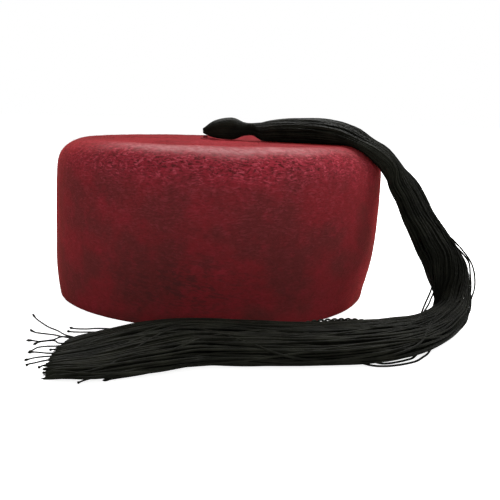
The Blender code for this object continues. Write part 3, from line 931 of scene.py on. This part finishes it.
        lift = np.abs(draw.normal(0.0, 0.34, self.fuzz_count)) + 0.06
        flip = np.where(draw.random(self.fuzz_count) < 0.5, 1.0, -1.0)
        way = side * (np.cos(turn) * flip)[:, None] + down * np.sin(turn)[:, None]
        way = way * np.cos(lift)[:, None] + normal * np.sin(lift)[:, None]
        size = self.fuzz_length * draw.uniform(0.45, 1.25, self.fuzz_count)
        tall = self.nap_at(place)
        size = size * (0.6 + 0.5 * tall)
        place = self.form.shaped(place, np.ones(len(place), bool))
        root = place - normal * self.fuzz_root
        tip = root + way * size[:, None]
        tip[:, 2] = np.maximum(tip[:, 2], self.fuzz_over_table)
        cross = np.cross(way, normal)
        cross /= np.linalg.norm(cross, axis=1)[:, None]
        over = np.cross(way, cross)
        corners = []
        for angle in (0.0, 2 * math.pi / 3, 4 * math.pi / 3):
            ray = cross * math.cos(angle) + over * math.sin(angle)
            corners.append(root + ray * self.fuzz_radius)
        points = np.stack([*corners, tip], axis=1).reshape(-1, 3) + np.array(self.axis)
        first = np.arange(self.fuzz_count)[:, None] * 4
        faces = np.concatenate([first + np.array(f) for f in ((0, 1, 3), (1, 2, 3), (2, 0, 3), (0, 2, 1))])
        piece = array_mesh("felt_fuzz", points, [faces])
        set_attribute(piece, "tone", np.repeat(draw.random(self.fuzz_count), 4))
        piece.data.materials.append(fuzz)
        return piece


class HeadSection(NamedTuple):
    """A ring of the tassel's head: its place in head lengths, and its share of the full size.

    sink is how far the ring's middle hangs under the head's axis, as a share of the head's height.
    """

    along: float
    size: float
    sink: float


class TopSection(NamedTuple):
    """A section on the crown. reach is 1 where the shoulder starts and 2 where it ends."""

    reach: float
    bearing: float
    width: float
    depth: float


class AirSection(NamedTuple):
    """A section that hangs free. x and y are in crown radii and z in crown heights."""

    x: float
    y: float
    z: float
    width: float
    depth: float


class TableSection(NamedTuple):
    """A section on the table. x and y of its axis are in crown radii."""

    x: float
    y: float
    width: float
    depth: float


class EdgeSection(NamedTuple):
    """A section on the table, placed by its edge nearer the crown. Both are in crown radii."""

    x: float
    near_edge: float
    width: float
    depth: float


class FanSection(NamedTuple):
    """A section of the loose ends: how far past the bundle's last section, and its size."""

    past: float
    width: float
    depth: float


HEAD_SECTIONS = (
    HeadSection(along=0.00, size=0.22, sink=0.130),
    HeadSection(along=0.08, size=0.39, sink=0.120),
    HeadSection(along=0.16, size=0.56, sink=0.100),
    HeadSection(along=0.27, size=0.75, sink=0.065),
    HeadSection(along=0.42, size=0.89, sink=0.030),
    HeadSection(along=0.62, size=0.98, sink=0.000),
    HeadSection(along=0.76, size=1.00, sink=0.000),
    HeadSection(along=0.88, size=0.87, sink=0.000),
    HeadSection(along=0.98, size=0.69, sink=0.000),
)
NECK_RINGS = (0.35, 0.85)  # places along the neck, in neck lengths

TOP_SECTIONS = (
    TopSection(reach=0.335, bearing=-5, width=0.27, depth=0.80),
    TopSection(reach=0.44, bearing=-9, width=0.41, depth=0.90),
    TopSection(reach=0.65, bearing=-14, width=0.49, depth=0.98),
    TopSection(reach=0.86, bearing=-17.5, width=0.52, depth=0.94),
    TopSection(reach=1.00, bearing=-19.5, width=0.52, depth=0.76),
    TopSection(reach=1.28, bearing=-20.5, width=0.51, depth=0.54),
    TopSection(reach=1.58, bearing=-20.5, width=0.47, depth=0.70),
)

AIR_SECTIONS = (
    AirSection(x=1.074, y=-0.380, z=0.820, width=0.43, depth=0.72),
    AirSection(x=1.136, y=-0.430, z=0.717, width=0.455, depth=0.78),
    AirSection(x=1.197, y=-0.480, z=0.576, width=0.48, depth=0.92),
    AirSection(x=1.272, y=-0.535, z=0.440, width=0.51, depth=1.10),
    AirSection(x=1.338, y=-0.595, z=0.308, width=0.465, depth=1.16),
    AirSection(x=1.361, y=-0.660, z=0.190, width=0.355, depth=1.08),
    AirSection(x=1.343, y=-0.759, z=0.105, width=0.345, depth=1.00),
)

BEND_SECTIONS = (
    TableSection(x=1.242, y=-0.921, width=0.40, depth=0.92),
    TableSection(x=1.060, y=-1.108, width=0.64, depth=0.84),
)

FLOOR_SECTIONS = (
    EdgeSection(x=0.840, near_edge=1.040, width=0.82, depth=0.96),
    EdgeSection(x=0.560, near_edge=1.120, width=0.86, depth=0.96),
    EdgeSection(x=0.240, near_edge=1.125, width=0.91, depth=0.97),
    EdgeSection(x=-0.080, near_edge=1.135, width=0.98, depth=1.00),
    EdgeSection(x=-0.330, near_edge=1.252, width=1.00, depth=0.85),
    EdgeSection(x=-0.520, near_edge=1.380, width=0.88, depth=0.64),
    EdgeSection(x=-0.600, near_edge=1.442, width=0.75, depth=0.56),
)

FAN_SECTIONS = (
    FanSection(past=0.008, width=0.69, depth=0.46),
    FanSection(past=0.018, width=0.61, depth=0.30),
    FanSection(past=0.030, width=0.54, depth=0.20),
)


# places about the crown's axis, in millimetres, that a loose thread runs through
Places = tuple[tuple[float, float, float], ...]

# over the hanging part's outer side, across its inner corner, and beside the floor stretch
LOOSE_THREADS: tuple[Places, ...] = (
    (
        (122, -53, 53), (126.5, -54, 48.5), (132.5, -57, 43), (138, -58.5, 37), (141.5, -59, 32),
        (143.5, -60, 25), (143.5, -61.5, 19.5), (141.5, -65, 15), (138, -71, 12), (132, -79, 9),
    ),
    (
        (122, -54, 50), (128, -54, 46), (132.5, -58, 41), (136.5, -59.5, 37), (139.5, -60.5, 33),
        (140.5, -61.5, 27), (141, -62.5, 22), (140.5, -65, 17.5), (137, -71, 13.5), (131, -79, 10),
    ),
    (
        (123.5, -56, 27), (121.8, -60, 21.5), (120.3, -62, 18.7), (118.8, -64, 15.6),
        (116.3, -67.5, 11.8), (114.3, -71, 9), (112.5, -75, 7), (109.5, -82, 6), (104, -89, 5),
        (98, -96, 4.5),
    ),
    (
        (124, -58, 22), (121.8, -61.5, 18), (120.8, -63.5, 15.5), (119.3, -66, 13.5), (117.7, -68.5, 11),
        (115, -72.5, 8.5), (112, -78, 6.5), (107, -86, 5),
    ),
    (
        (113, -113, 2.5), (110, -118.5, 2.5), (107.5, -123.5, 2.5), (105.5, -126.5, 1.2),
        (102.5, -130.5, 0.7), (98, -136.8, 0.6), (92.5, -141, 0.6), (87.5, -143.7, 0.6),
        (82.5, -145.3, 0.6), (77.5, -146, 0.9), (70, -146, 2.5),
    ),
    (
        (106, -121, 2.5), (101.5, -127.5, 2.5), (99.3, -131.5, 2.2), (97.5, -133, 1.1),
        (94, -135.5, 0.7), (89.5, -138.5, 0.6), (85.5, -140.8, 0.6), (81.5, -142.5, 0.9), (75, -144, 3),
    ),
)

# the way of the two threads that are wound round each other over the floor stretch's far edge
WOUND_PAIR: Places = (
    (42, -124, 10.5), (49, -119.5, 12.2), (56.5, -116.5, 12.7), (63, -114.5, 12.8), (70.5, -112.5, 12.6),
    (76, -111.5, 12), (84, -112, 10.5),
)

# the knotted tips at the tassel's end, about from the far side to the near side
LOOSE_TIPS: tuple[Places, ...] = (
    (
        (-38, -127, 8.5), (-45, -124, 8), (-50.5, -119, 6.5), (-57.5, -110, 3.5), (-64, -104.5, 2),
        (-67, -101.5, 1.5),
    ),
    (
        (-40, -130, 7.5), (-47, -127, 7), (-53, -122, 5.5), (-59.5, -114, 3), (-65, -108.5, 1.5),
        (-67.2, -106, 1),
    ),
    (
        (-50, -138, 6), (-60, -133, 6.5), (-66, -119.5, 3.5), (-72, -107, 1.5), (-78.5, -98, 0.6),
        (-83.5, -91, 0.6), (-88.5, -83.5, 0.8), (-92.2, -76.5, 1.2),
    ),
    (
        (-50, -139, 6), (-61, -133.5, 6), (-66.5, -125, 4), (-71, -116.5, 2), (-76, -111.2, 0.8),
        (-82, -108.5, 0.6), (-86, -104.3, 0.7),
    ),
    (
        (-52, -139, 6.5), (-60.5, -134.5, 6.5), (-65, -130, 5), (-69, -126, 2.5), (-72, -123, 1.2),
        (-77, -123.5, 0.7), (-80.7, -122, 0.6), (-82.8, -122.3, 0.6),
    ),
    (
        (-52, -140, 5.5), (-61.5, -138, 4.5), (-65.5, -132.5, 3), (-69, -126, 2), (-73, -125, 1.4),
        (-75.8, -125.5, 1), (-77.9, -128.3, 0.6),
    ),
    (
        (-50, -143, 4.5), (-58.5, -139.5, 4.5), (-64, -139, 3.5), (-67.5, -136.5, 2.5),
        (-71, -133.8, 1.5), (-74.3, -134, 1), (-76, -137.5, 0.6), (-76.7, -140.3, 0.6),
    ),
    (
        (-50, -150, 4), (-60.5, -149, 3.5), (-67.5, -143.7, 1.5), (-71.5, -140.8, 0.8),
        (-75, -139.8, 0.6), (-77, -140.8, 0.6),
    ),
    (
        (-50, -147, 4.5), (-57, -144.5, 4.5), (-63.5, -141, 2.5), (-66, -139.5, 2), (-67.8, -138.8, 1.5),
    ),
    (
        (-50, -157, 4), (-59, -155, 4), (-66, -150.5, 2.2), (-69, -148.3, 1.2), (-72, -148.3, 0.7),
        (-74, -150, 0.6), (-75.4, -152, 0.6),
    ),
    (
        (-50, -158, 3), (-60.5, -156, 3), (-66.5, -154.3, 1.4), (-70.3, -155.5, 0.7), (-72, -156.5, 0.6),
        (-72.8, -159, 0.6),
    ),
    (
        (-50, -161, 2.5), (-59, -160, 2.5), (-64.2, -159, 1.2), (-65.7, -159.2, 0.8), (-67, -161.2, 0.6),
    ),
    (
        (-50, -169, 2), (-56.5, -169, 2), (-61.5, -168.3, 1), (-63.5, -167.5, 0.6),
    ),
    (
        (-36, -173, 2), (-40, -175.5, 2), (-44.4, -176.5, 1), (-46.5, -178.7, 0.6),
    ),
    (
        (2, -154, 3), (-9, -157.5, 1.2), (-13, -159.3, 0.7), (-17, -161.5, 0.6), (-22.5, -165.7, 0.6),
        (-27.7, -169, 0.6), (-32.5, -171.8, 0.6), (-37, -175, 0.7),
    ),
)


@dataclass(frozen=True)
class TasselForm:
    """Measures of the tassel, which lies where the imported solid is."""

    head_length: float = 0.0235
    head_height: float = 0.0132
    head_width: float = 0.0150
    head_tip_x: float = -0.0114
    neck_diameter: float = 0.0076
    neck_length: float = 0.0085
    skirt_width: float = 0.056
    skirt_depth: float = 0.0155
    seat_gap: float = 0.0003
    rest_flatten: float = 0.86
    thread: float = 0.0011
    loose_thread: float = 0.00100
    loose_tip: float = 0.00074
    winding_pitch: float = 0.0070
    winding_radius: float = 0.00062


class Row(NamedTuple):
    """A section of the tassel's route: its middle, half sizes and flatness underneath."""

    x: float
    y: float
    z: float
    half_width: float
    half_depth: float
    under: float


@dataclass
class TasselRoute:
    """The tassel's way over the crown and along the table, as a smooth run of sections."""

    crown: CrownForm
    form: TasselForm

    def __post_init__(self) -> None:
        """Joins the sections into one table with each one's distance along the route."""
        rows = self.head_rows() + self.skirt_rows()
        self.head_count = len(HEAD_SECTIONS) + len(NECK_RINGS)
        rows += self.fan_rows(rows[-2:])
        self.table = np.array(rows)
        self.knots = distances(self.table[:, :3])
        self.slopes = np.gradient(self.table, self.knots, axis=0)
        self.neck_end = self.knots[self.head_count - 1]
        self.trunk_end = self.knots[-1 - len(FAN_SECTIONS)]

    def head_rows(self) -> list[Row]:
        """The sections of the head and the neck."""
        form = self.form
        lean = self.crown.lean
        axis = self.crown.height + form.seat_gap + form.head_height / 2
        rows = []
        for row in HEAD_SECTIONS:
            x = form.head_tip_x + row.along * form.head_length + lean
            z = axis - form.head_height * row.sink
            half = (form.head_width / 2 * row.size, form.head_height / 2 * row.size)
            rows.append(Row(x, 0.0, z, *half, 1.0))
        for along in NECK_RINGS:
            x = form.head_tip_x + form.head_length + along * form.neck_length + lean
            half_neck = form.neck_diameter / 2
            rows.append(Row(x, 0.0, axis, half_neck, half_neck, 1.0))
        return rows

    def half_sizes(self, row: NamedTuple) -> tuple[float, float]:
        """A skirt section's half width and half depth."""
        return self.form.skirt_width / 2 * row.width, self.form.skirt_depth / 2 * row.depth

    def skirt_rows(self) -> list[Row]:
        """The sections of the skirt, from the crown's top to the bundle's end on the table."""
        crown, form = self.crown, self.form
        rows = []
        for row in TOP_SECTIONS:
            half = self.half_sizes(row)
            lift = form.seat_gap + half[1] * form.rest_flatten
            turn = math.pi / 2 * max(0.0, row.reach - 1)
            out = crown.shoulder + lift
            radius = min(row.reach, 1.0) * crown.flat_radius + out * math.sin(turn)
            angle = math.radians(row.bearing)
            x = radius * math.cos(angle) + crown.lean
            z = crown.shoulder_height + out * math.cos(turn)
            rows.append(Row(x, radius * math.sin(angle), z, *half, form.rest_flatten))
        for row in AIR_SECTIONS:
            half = self.half_sizes(row)
            place = (row.x * crown.radius, row.y * crown.radius, row.z * crown.height)
            rows.append(Row(*place, *half, 1.0))
        for row in (*BEND_SECTIONS, *FLOOR_SECTIONS):
            half = self.half_sizes(row)
            if isinstance(row, EdgeSection):
                y = -row.near_edge * crown.radius - half[0]
            else:
                y = row.y * crown.radius
            z = half[1] * form.rest_flatten
            rows.append(Row(row.x * crown.radius, y, z, *half, form.rest_flatten))
        return rows

    def fan_rows(self, last: Sequence[Row]) -> list[Row]:
        """The sections of the loose ends past the bundle.

        Args:
            last: the bundle's last two sections.

        Returns:
            Sections that run on level in the same direction and settle on the table.
        """
        form = self.form
        before, end = np.array(last[0][:3]), np.array(last[1][:3])
        way = (end - before) * np.array((1.0, 1.0, 0.0))
        way /= np.linalg.norm(way)
        rows = []
        for row in FAN_SECTIONS:
            place = end + way * row.past
            half = self.half_sizes(row)
            place[2] = half[1] * form.rest_flatten
            rows.append(Row(*place, *half, form.rest_flatten))
        return rows

    def at(self, along: np.ndarray) -> np.ndarray:
        """The smooth section table read at distances along the route, one section a row."""
        return smooth_read(self.table, self.knots, self.slopes, along)

    def axes(self, along: np.ndarray) -> tuple[np.ndarray, np.ndarray]:
        """The level direction across the bundle and the one through it, at distances along it."""
        near = 0.002
        ahead = self.at(np.minimum(along + near, self.knots[-1]))[:, :3]
        back = self.at(np.maximum(along - near, 0.0))[:, :3]
        way = ahead - back
        way /= np.linalg.norm(way, axis=1)[:, None]
        across = np.cross(way, (0, 0, 1))
        across /= np.linalg.norm(across, axis=1)[:, None]
        return across, np.cross(across, way)


def loose_line(places: Places) -> np.ndarray:
    """A smooth, evenly stepped line through a loose thread's places, in metres."""
    table = np.array(places, float)
    knots = distances(table)
    along = np.linspace(0, knots[-1], LOOSE_STEPS)
    return smooth_read(table, knots, np.gradient(table, knots, axis=0), along) * MILLIMETRE


def thread_tubes(
    name: str, paths: np.ndarray, radii: np.ndarray, tones: np.ndarray, sides: int
) -> bpy.types.Object:
    """Makes one piece of many round threads, closed at both ends.

    Args:
        name: the piece's name.
        paths: the middle line of each thread: thread, step, place.
        radii: the radius of each thread at each step.
        tones: one value from 0 to 1 for each thread, for its shade.
        sides: how many sides a thread has.

    Returns:
        The piece, with a map that runs round and along each thread.
    """
    count, steps = radii.shape
    way = np.gradient(paths, axis=1)
    way /= np.maximum(np.linalg.norm(way, axis=2), 1e-9)[:, :, None]
    normal = np.cross(way[:, 0], (0.2, 0.3, 0.93))
    normal /= np.linalg.norm(normal, axis=1)[:, None]
    normals = np.zeros_like(paths)
    for step in range(steps):
        normal = normal - way[:, step] * np.sum(normal * way[:, step], axis=1)[:, None]
        normal /= np.linalg.norm(normal, axis=1)[:, None]
        normals[:, step] = normal
    sideways = np.cross(way, normals)
    angle = np.arange(sides) * 2 * math.pi / sides
    ring = (
        normals[:, :, None, :] * np.cos(angle)[None, None, :, None]
        + sideways[:, :, None, :] * np.sin(angle)[None, None, :, None]
    )
    points = paths[:, :, None, :] + ring * radii[:, :, None, None]
    ends = np.stack(
        [paths[:, 0] - way[:, 0] * radii[:, :1], paths[:, -1] + way[:, -1] * radii[:, -1:]], axis=1
    )
    each = steps * sides + 2
    points = np.concatenate([points.reshape(count, -1, 3), ends], axis=1).reshape(-1, 3)
    quads, caps = tube_faces(steps, sides)
    shift = np.arange(count)[:, None, None] * each
    length = np.concatenate(
        [np.zeros((count, 1)), np.cumsum(np.linalg.norm(np.diff(paths, axis=1), axis=2), axis=1)],
        axis=1,
    )
    turns = length / (2 * max(radii.max(), 1e-6)) * 0.45 + np.arange(count)[:, None] * 0.618 % 1
    k = np.arange(sides)
    low, high = turns[:, :-1, None], turns[:, 1:, None]
    shape = (count, steps - 1, sides)
    quad_map = np.stack(
        [
            np.stack([np.broadcast_to(u / sides, shape), np.broadcast_to(v, shape)], axis=-1)
            for u, v in ((k, low), (k + 1, low), (k + 1, high), (k, high))
        ],
        axis=3,
    )
    cap_map = np.zeros((count * len(caps), 3, 2))
    piece = array_mesh(
        name,
        points,
        [(quads[None] + shift).reshape(-1, 4), (caps[None] + shift).reshape(-1, 3)],
        [quad_map.reshape(-1, 4, 2), cap_map],
    )
    # painted shade: the tone drops towards +X over the hanging part and the bend
    painted_shade = np.clip((points[:, 0] - PAINTED_SHADE_FROM) / PAINTED_SHADE_RUN, 0, 1) * PAINTED_SHADE_MOST
    set_attribute(piece, "tone", np.repeat(tones, each) - painted_shade)
    return piece


@dataclass
class Layer:
    """A layer of threads in the bundle: how many, and between which shares of its radius."""

    name: str
    count: int
    inner: float
    outer: float
    on_head: bool


@dataclass
class Tassel:
    """The long black tassel: a threaded head, a thin neck and a bundle of loose threads."""

    crown: CrownForm
    form: TasselForm
    route: TasselRoute
    axis: Vector
    step: float = 0.0036
    head_step: float = 0.0017
    sides: int = 6
    knot: tuple[float, float, float] = (1.15, 1.3175, 0.35)
    free_length: float = 0.05
    crowding: float = 0.62
    layers: tuple[Layer, ...] = (
        Layer("tassel_threads_outer", 104, 0.95, 1.03, True),
        Layer("tassel_threads_middle", 78, 0.78, 0.90, False),
        Layer("tassel_threads_inner", 42, 0.52, 0.70, False),
    )
    core_sides: int = 40
    core_step: float = 0.003
    core_share: float = 0.60
    core_head_share: float = 0.93
    end_spare: float = 0.0020
    end_slant: float = 0.0058

    def even_angles(self, count: int, draw: np.random.Generator) -> np.ndarray:
        """Angles round a section that space threads evenly along a flattened outline.

        Args:
            count: how many threads stand round the section.
            draw: the source of the small unevenness.

        Returns:
            One angle for each thread, in radians.
        """
        flatness = 2.4
        turn = np.linspace(0, 2 * math.pi, 721)
        steps = np.hypot(np.diff(np.cos(turn) * flatness), np.diff(np.sin(turn)))
        length = np.concatenate([[0], np.cumsum(steps)]) / steps.sum()
        at = (np.arange(count) + draw.uniform(-0.35, 0.35, count)) / count
        return np.interp(at % 1.0, length, turn)

    def section_points(
        self, along: np.ndarray, angle: np.ndarray, share: np.ndarray, radius: np.ndarray
    ) -> np.ndarray:
        """Places in the bundle.

        Args:
            along: distance along the route for each thread and step.
            angle: angle round the section for each thread and step.
            share: distance from the middle, as a share of the section.
            radius: thread radius, which the outermost threads keep inside the section.

        Returns:
            The places, clear of the felt and the table.
        """
        shape = along.shape
        flat = along.ravel()
        rows = self.route.at(flat)
        across, through = self.route.axes(flat)
        thick = radius.ravel()
        wide = np.maximum(rows[:, 3] - thick, 0.0002) * share.ravel()
        deep = np.maximum(rows[:, 4] - thick, 0.0002) * share.ravel()
        sideways = np.cos(angle.ravel()) * wide
        outward = np.maximum(np.sin(angle.ravel()), -rows[:, 5]) * deep
        points = rows[:, :3] + across * sideways[:, None] + through * outward[:, None]
        points = self.crown.clear_of(points, self.form.seat_gap + thick)
        points[:, 2] = np.maximum(points[:, 2], thick + TABLE_GAP)
        return points.reshape(*shape, 3)

    def build_layer(
        self, layer: Layer, thread: bpy.types.Material, draw: np.random.Generator
    ) -> bpy.types.Object:
        """Makes the threads of one layer.

        Args:
            layer: which threads.
            thread: their material.
            draw: the source of their wandering.

        Returns:
            The finished piece.
        """
        route, form = self.route, self.form
        count = layer.count
        start = 0.0 if layer.on_head else route.neck_end - form.neck_length * 0.4
        fine = rough_steps(start, route.neck_end, self.head_step)
        coarse = rough_steps(route.neck_end, route.trunk_end, self.step)
        share = (np.array([start, *fine, *coarse]) - start) / (route.trunk_end - start)
        sway = draw.normal(0.0, 0.22, count) * draw.choice([1.0, 2.2], count, p=[0.8, 0.2])
        wave = draw.uniform(0.11, 0.26, count)
        phase = draw.uniform(0, 2 * math.pi, count)
        angle = self.even_angles(count, draw)[:, None]
        last_angle = angle[:, 0] + sway * np.sin(2 * math.pi * route.trunk_end / wave + phase)
        slant = self.end_slant * np.cos(last_angle) * layer.outer
        spare = draw.normal(0.0, 0.0013, count).clip(-0.0026, 0.0012)
        end = route.trunk_end + self.end_spare - slant + spare
        along = start + (end[:, None] - start) * share[None, :]
        free = np.clip((along - route.neck_end) / self.free_length, 0, 1)
        angle = angle + free * (
            sway[:, None] * np.sin(2 * math.pi * along / wave[:, None] + phase[:, None])
        )
        depth = draw.uniform(layer.inner, layer.outer, count)[:, None]
        breath = draw.uniform(0.01, 0.05, count)[:, None]
        ripple = draw.uniform(0.03, 0.08, count)[:, None]
        depth = depth + free * breath * np.sin(2 * math.pi * along / ripple + phase[:, None] * 3)
        rows = route.at(along.ravel())
        reach = np.hypot(rows[:, 3], rows[:, 4]).reshape(along.shape) * math.sqrt(2) * math.pi
        crowd = self.crowding * reach / self.layers[0].count
        radius = np.minimum(form.thread / 2, crowd)
        if layer.on_head:
            depth = np.where(along < route.neck_end, 1.0, depth)
        radius[:, -3:] *= self.knot
        paths = self.section_points(along, angle, depth, radius)
        tones = draw.random(count) ** 1.6
        piece = thread_tubes(layer.name, paths + np.array(self.axis), radius, tones, self.sides)
        piece.data.materials.append(thread)
        return piece

    def build_core(self, plain: bpy.types.Material) -> bpy.types.Object:
        """Makes the dark middle of the bundle, which shows only between threads.

        Args:
            plain: the thread material without a twist map.

        Returns:
            The finished piece.
        """
        route = self.route
        start, end = 0.0006, route.trunk_end - 0.004
        along = np.linspace(start, end, round((end - start) / self.core_step))
        sides = self.core_sides
        angle = np.arange(sides) * 2 * math.pi / sides
        head = np.clip((route.neck_end - along) / 0.006, 0, 1)
        share = self.core_share + (self.core_head_share - self.core_share) * head
        far = np.broadcast_to(along[:, None], (len(along), sides))
        turn = np.broadcast_to(angle[None, :], far.shape)
        out = np.broadcast_to(share[:, None], far.shape)
        points = self.section_points(far, turn, out, np.zeros(far.shape) + 0.0001)
        ends = np.stack([points[0].mean(axis=0), points[-1].mean(axis=0)])
        quads, caps = tube_faces(len(along), sides)
        vertices = np.concatenate([points.reshape(-1, 3), ends]) + np.array(self.axis)
        piece = array_mesh("tassel_core", vertices, [quads[:, ::-1], caps[:, ::-1]])
        piece.data.materials.append(plain)
        return piece

    def wind(self, places: Places) -> list[np.ndarray]:
        """The middle lines of two threads that are wound round each other.

        Args:
            places: the way that the pair follows.

        Returns:
            The two lines.
        """
        middle = loose_line(places)
        way = np.gradient(middle, axis=0)
        way /= np.linalg.norm(way, axis=1)[:, None]
        level = np.cross(way, (0, 0, 1))
        upward = np.cross(level, way)
        turn = (2 * math.pi * distances(middle) / self.form.winding_pitch)[:, None]
        swing = (level * np.cos(turn) + upward * np.sin(turn)) * self.form.winding_radius
        return [middle + swing, middle - swing]

    def build_loose(
        self,
        name: str,
        lines: Sequence[np.ndarray],
        thickness: float,
        knotted: bool,
        thread: bpy.types.Material,
    ) -> bpy.types.Object:
        """Makes the threads that stand off the bundle.

        Args:
            name: the piece's name.
            lines: their middle lines about the crown's axis.
            thickness: their diameter.
            knotted: true where each ends in a knot.
            thread: their material.

        Returns:
            The finished piece.
        """
        paths = np.stack(lines)
        radius = np.full(paths.shape[:2], thickness / 2)
        if knotted:
            radius[:, -len(TIP_KNOT):] *= TIP_KNOT
        paths[:, :, 2] = np.maximum(paths[:, :, 2], radius + TABLE_GAP)
        tones = np.linspace(0.1, 0.6, len(paths))
        piece = thread_tubes(name, paths + np.array(self.axis), radius, tones, self.sides + 2)
        piece.data.materials.append(thread)
        return piece


@dataclass
class Studio:
    """The white floor, the soft lights and the camera."""

    axis: Vector
    lens: float = 58.0
    camera_place: tuple[float, float, float] = (0.0213, -0.4882, 0.1118)
    camera_down: float = 10.04
    camera_roll: float = 1.69
    room_light: float = 0.20
    floor_glow: float = 0.88

    def build_camera(self) -> None:
        """Puts the camera at the photograph's viewing angle."""
        data = bpy.data.cameras.new("view")
        data.lens = self.lens
        data.sensor_width = 36.0
        data.clip_start, data.clip_end = 0.01, 50.0
        camera = bpy.data.objects.new("view", data)
        camera.location = self.axis + Vector(self.camera_place)
        pitch = Matrix.Rotation(math.radians(90 - self.camera_down), 4, "X")
        roll = Matrix.Rotation(math.radians(self.camera_roll), 4, "Z")
        camera.rotation_euler = (pitch @ roll).to_euler()
        bpy.context.scene.collection.objects.link(camera)
        bpy.context.scene.camera = camera

    def add_softbox(
        self, name: str, place: tuple[float, float, float], size: tuple[float, float], power: float
    ) -> None:
        """Adds a wide soft light that faces the crown.

        Args:
            name: the light's name.
            place: its place about the crown's axis.
            size: its width and height.
            power: its power in watts.
        """
        data = bpy.data.lights.new(name, "AREA")
        data.shape = "RECTANGLE"
        data.size, data.size_y = size
        data.energy = power
        light = bpy.data.objects.new(name, data)
        light.location = self.axis + Vector(place)
        target = self.axis + Vector((0, 0, 0.05))
        light.rotation_euler = (target - light.location).to_track_quat("-Z", "Y").to_euler()
        bpy.context.scene.collection.objects.link(light)

    def build_floor(self) -> None:
        """Lays a plain white floor, which glows for the camera alone."""
        deselect()
        bpy.ops.mesh.primitive_plane_add(size=1.0, location=(0, 0, 0))
        floor = bpy.context.object
        floor.name = floor.data.name = "studio_floor"
        floor.scale = (12.0, 12.0, 1.0)
        bpy.ops.object.transform_apply(location=False, rotation=False, scale=True)
        sockets = {
            "Base Color": (0.85, 0.85, 0.85, 1.0),
            "Roughness": 0.9,
            "Specular IOR Level": 0.1,
            "Emission Color": (1.0, 1.0, 1.0, 1.0),
        }
        paper, sheet, shader = start_material("white_paper", (0.85, 0.85, 0.85), sockets)
        seen = sheet.add("ShaderNodeLightPath")
        glow = sheet.math("MULTIPLY", seen.outputs["Is Camera Ray"], self.floor_glow)
        sheet.link(glow, shader.inputs["Emission Strength"])
        floor.data.materials.append(paper)

    def build_world(self) -> None:
        """Fills the room with even white light, and shows the camera plain white."""
        world = bpy.data.worlds.new("white_room")
        world.use_nodes = True
        light = world.node_tree.nodes["Background"]
        light.inputs["Color"].default_value = (1.0, 1.0, 1.0, 1.0)
        sheet = NodeSheet(world.node_tree)
        seen = sheet.add("ShaderNodeLightPath")
        strength = sheet.line(seen.outputs["Is Camera Ray"], 1.0 - self.room_light, self.room_light)
        sheet.link(strength, light.inputs["Strength"])
        bpy.context.scene.world = world
        bpy.context.scene.view_settings.view_transform = "Standard"

    def build(self) -> None:
        """Sets up the whole studio."""
        self.build_camera()
        self.build_floor()
        self.build_world()
        self.add_softbox("light_over", (0.0, 0.55, 0.80), (1.1, 0.5), 15.5)
        self.add_softbox("light_left", (-0.95, 0.15, 0.20), (0.5, 0.6), 1.6)
        self.add_softbox("light_right", (0.72, 0.12, 0.74), (0.5, 0.6), 5.4)
        self.add_softbox("light_front", (0.15, -1.0, 0.42), (0.9, 0.6), 3.7)


def crown_axis(record: dict, form: CrownForm) -> Vector:
    """The foot of the crown's axis, worked out from the rest face on its rim.

    Args:
        record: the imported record.
        form: the crown's measures.

    Returns:
        The axis's foot on the table, in the frame.
    """
    rest = next(m for m in record["mounts"] if m["name"] == "rim_rest")
    x, y, _ = rest["pos_m"]
    return Vector((x, y - (form.rim_radius - form.wall / 2 - 0.0003), 0.0))


def seat(piece: bpy.types.Object, slot: Slot, *nodes: str) -> None:
    """Fixes a finished piece to the frame.

    Args:
        piece: the piece.
        slot: the record's slot that its finish stands for.
        nodes: the CAD nodes that it stands for.
    """
    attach(piece, "root")
    if nodes:
        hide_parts(*nodes)
    faces = len(piece.data.polygons)
    LOG.info("%s: %d faces, slot %s, stands for %s", piece.name, faces, slot.value, nodes)


def main() -> None:
    """Loads the frame, builds each sub-assembly in order and reports it."""
    logging.basicConfig(level=logging.INFO, format="%(name)s: %(message)s")
    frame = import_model()
    draw = np.random.default_rng(SEED)
    form = CrownForm()
    axis = crown_axis(frame["record"], form)
    Studio(axis).build()

    fibres = fibre_group()
    crown = FeltCrown(form, axis)
    seat(crown.build_shell(FeltFinish().build(fibres, axis)), Slot.FELT, "crown")
    seat(crown.build_fuzz(FuzzFinish().build(), draw), Slot.FELT, "crown")

    thread = ThreadFinish().build(twisted=True)
    plain = ThreadFinish().build(twisted=False)
    measures = TasselForm()
    tassel = Tassel(form, measures, TasselRoute(form, measures), axis)
    for layer in tassel.layers:
        seat(tassel.build_layer(layer, thread, draw), Slot.THREAD, "tassel")
    seat(tassel.build_core(plain), Slot.THREAD, "tassel")
    strays = [loose_line(places) for places in LOOSE_THREADS] + tassel.wind(WOUND_PAIR)
    tips = [loose_line(places) for places in LOOSE_TIPS]
    for name, lines, thickness, knotted in (
        ("tassel_stray_threads", strays, measures.loose_thread, False),
        ("tassel_stray_tips", tips, measures.loose_tip, True),
    ):
        seat(tassel.build_loose(name, lines, thickness, knotted, thread), Slot.THREAD, "tassel")
    loop = frame["nodes"]["hanging_loop"]
    loop.data.materials.clear()
    loop.data.materials.append(plain)


if __name__ == "__main__":
    main()
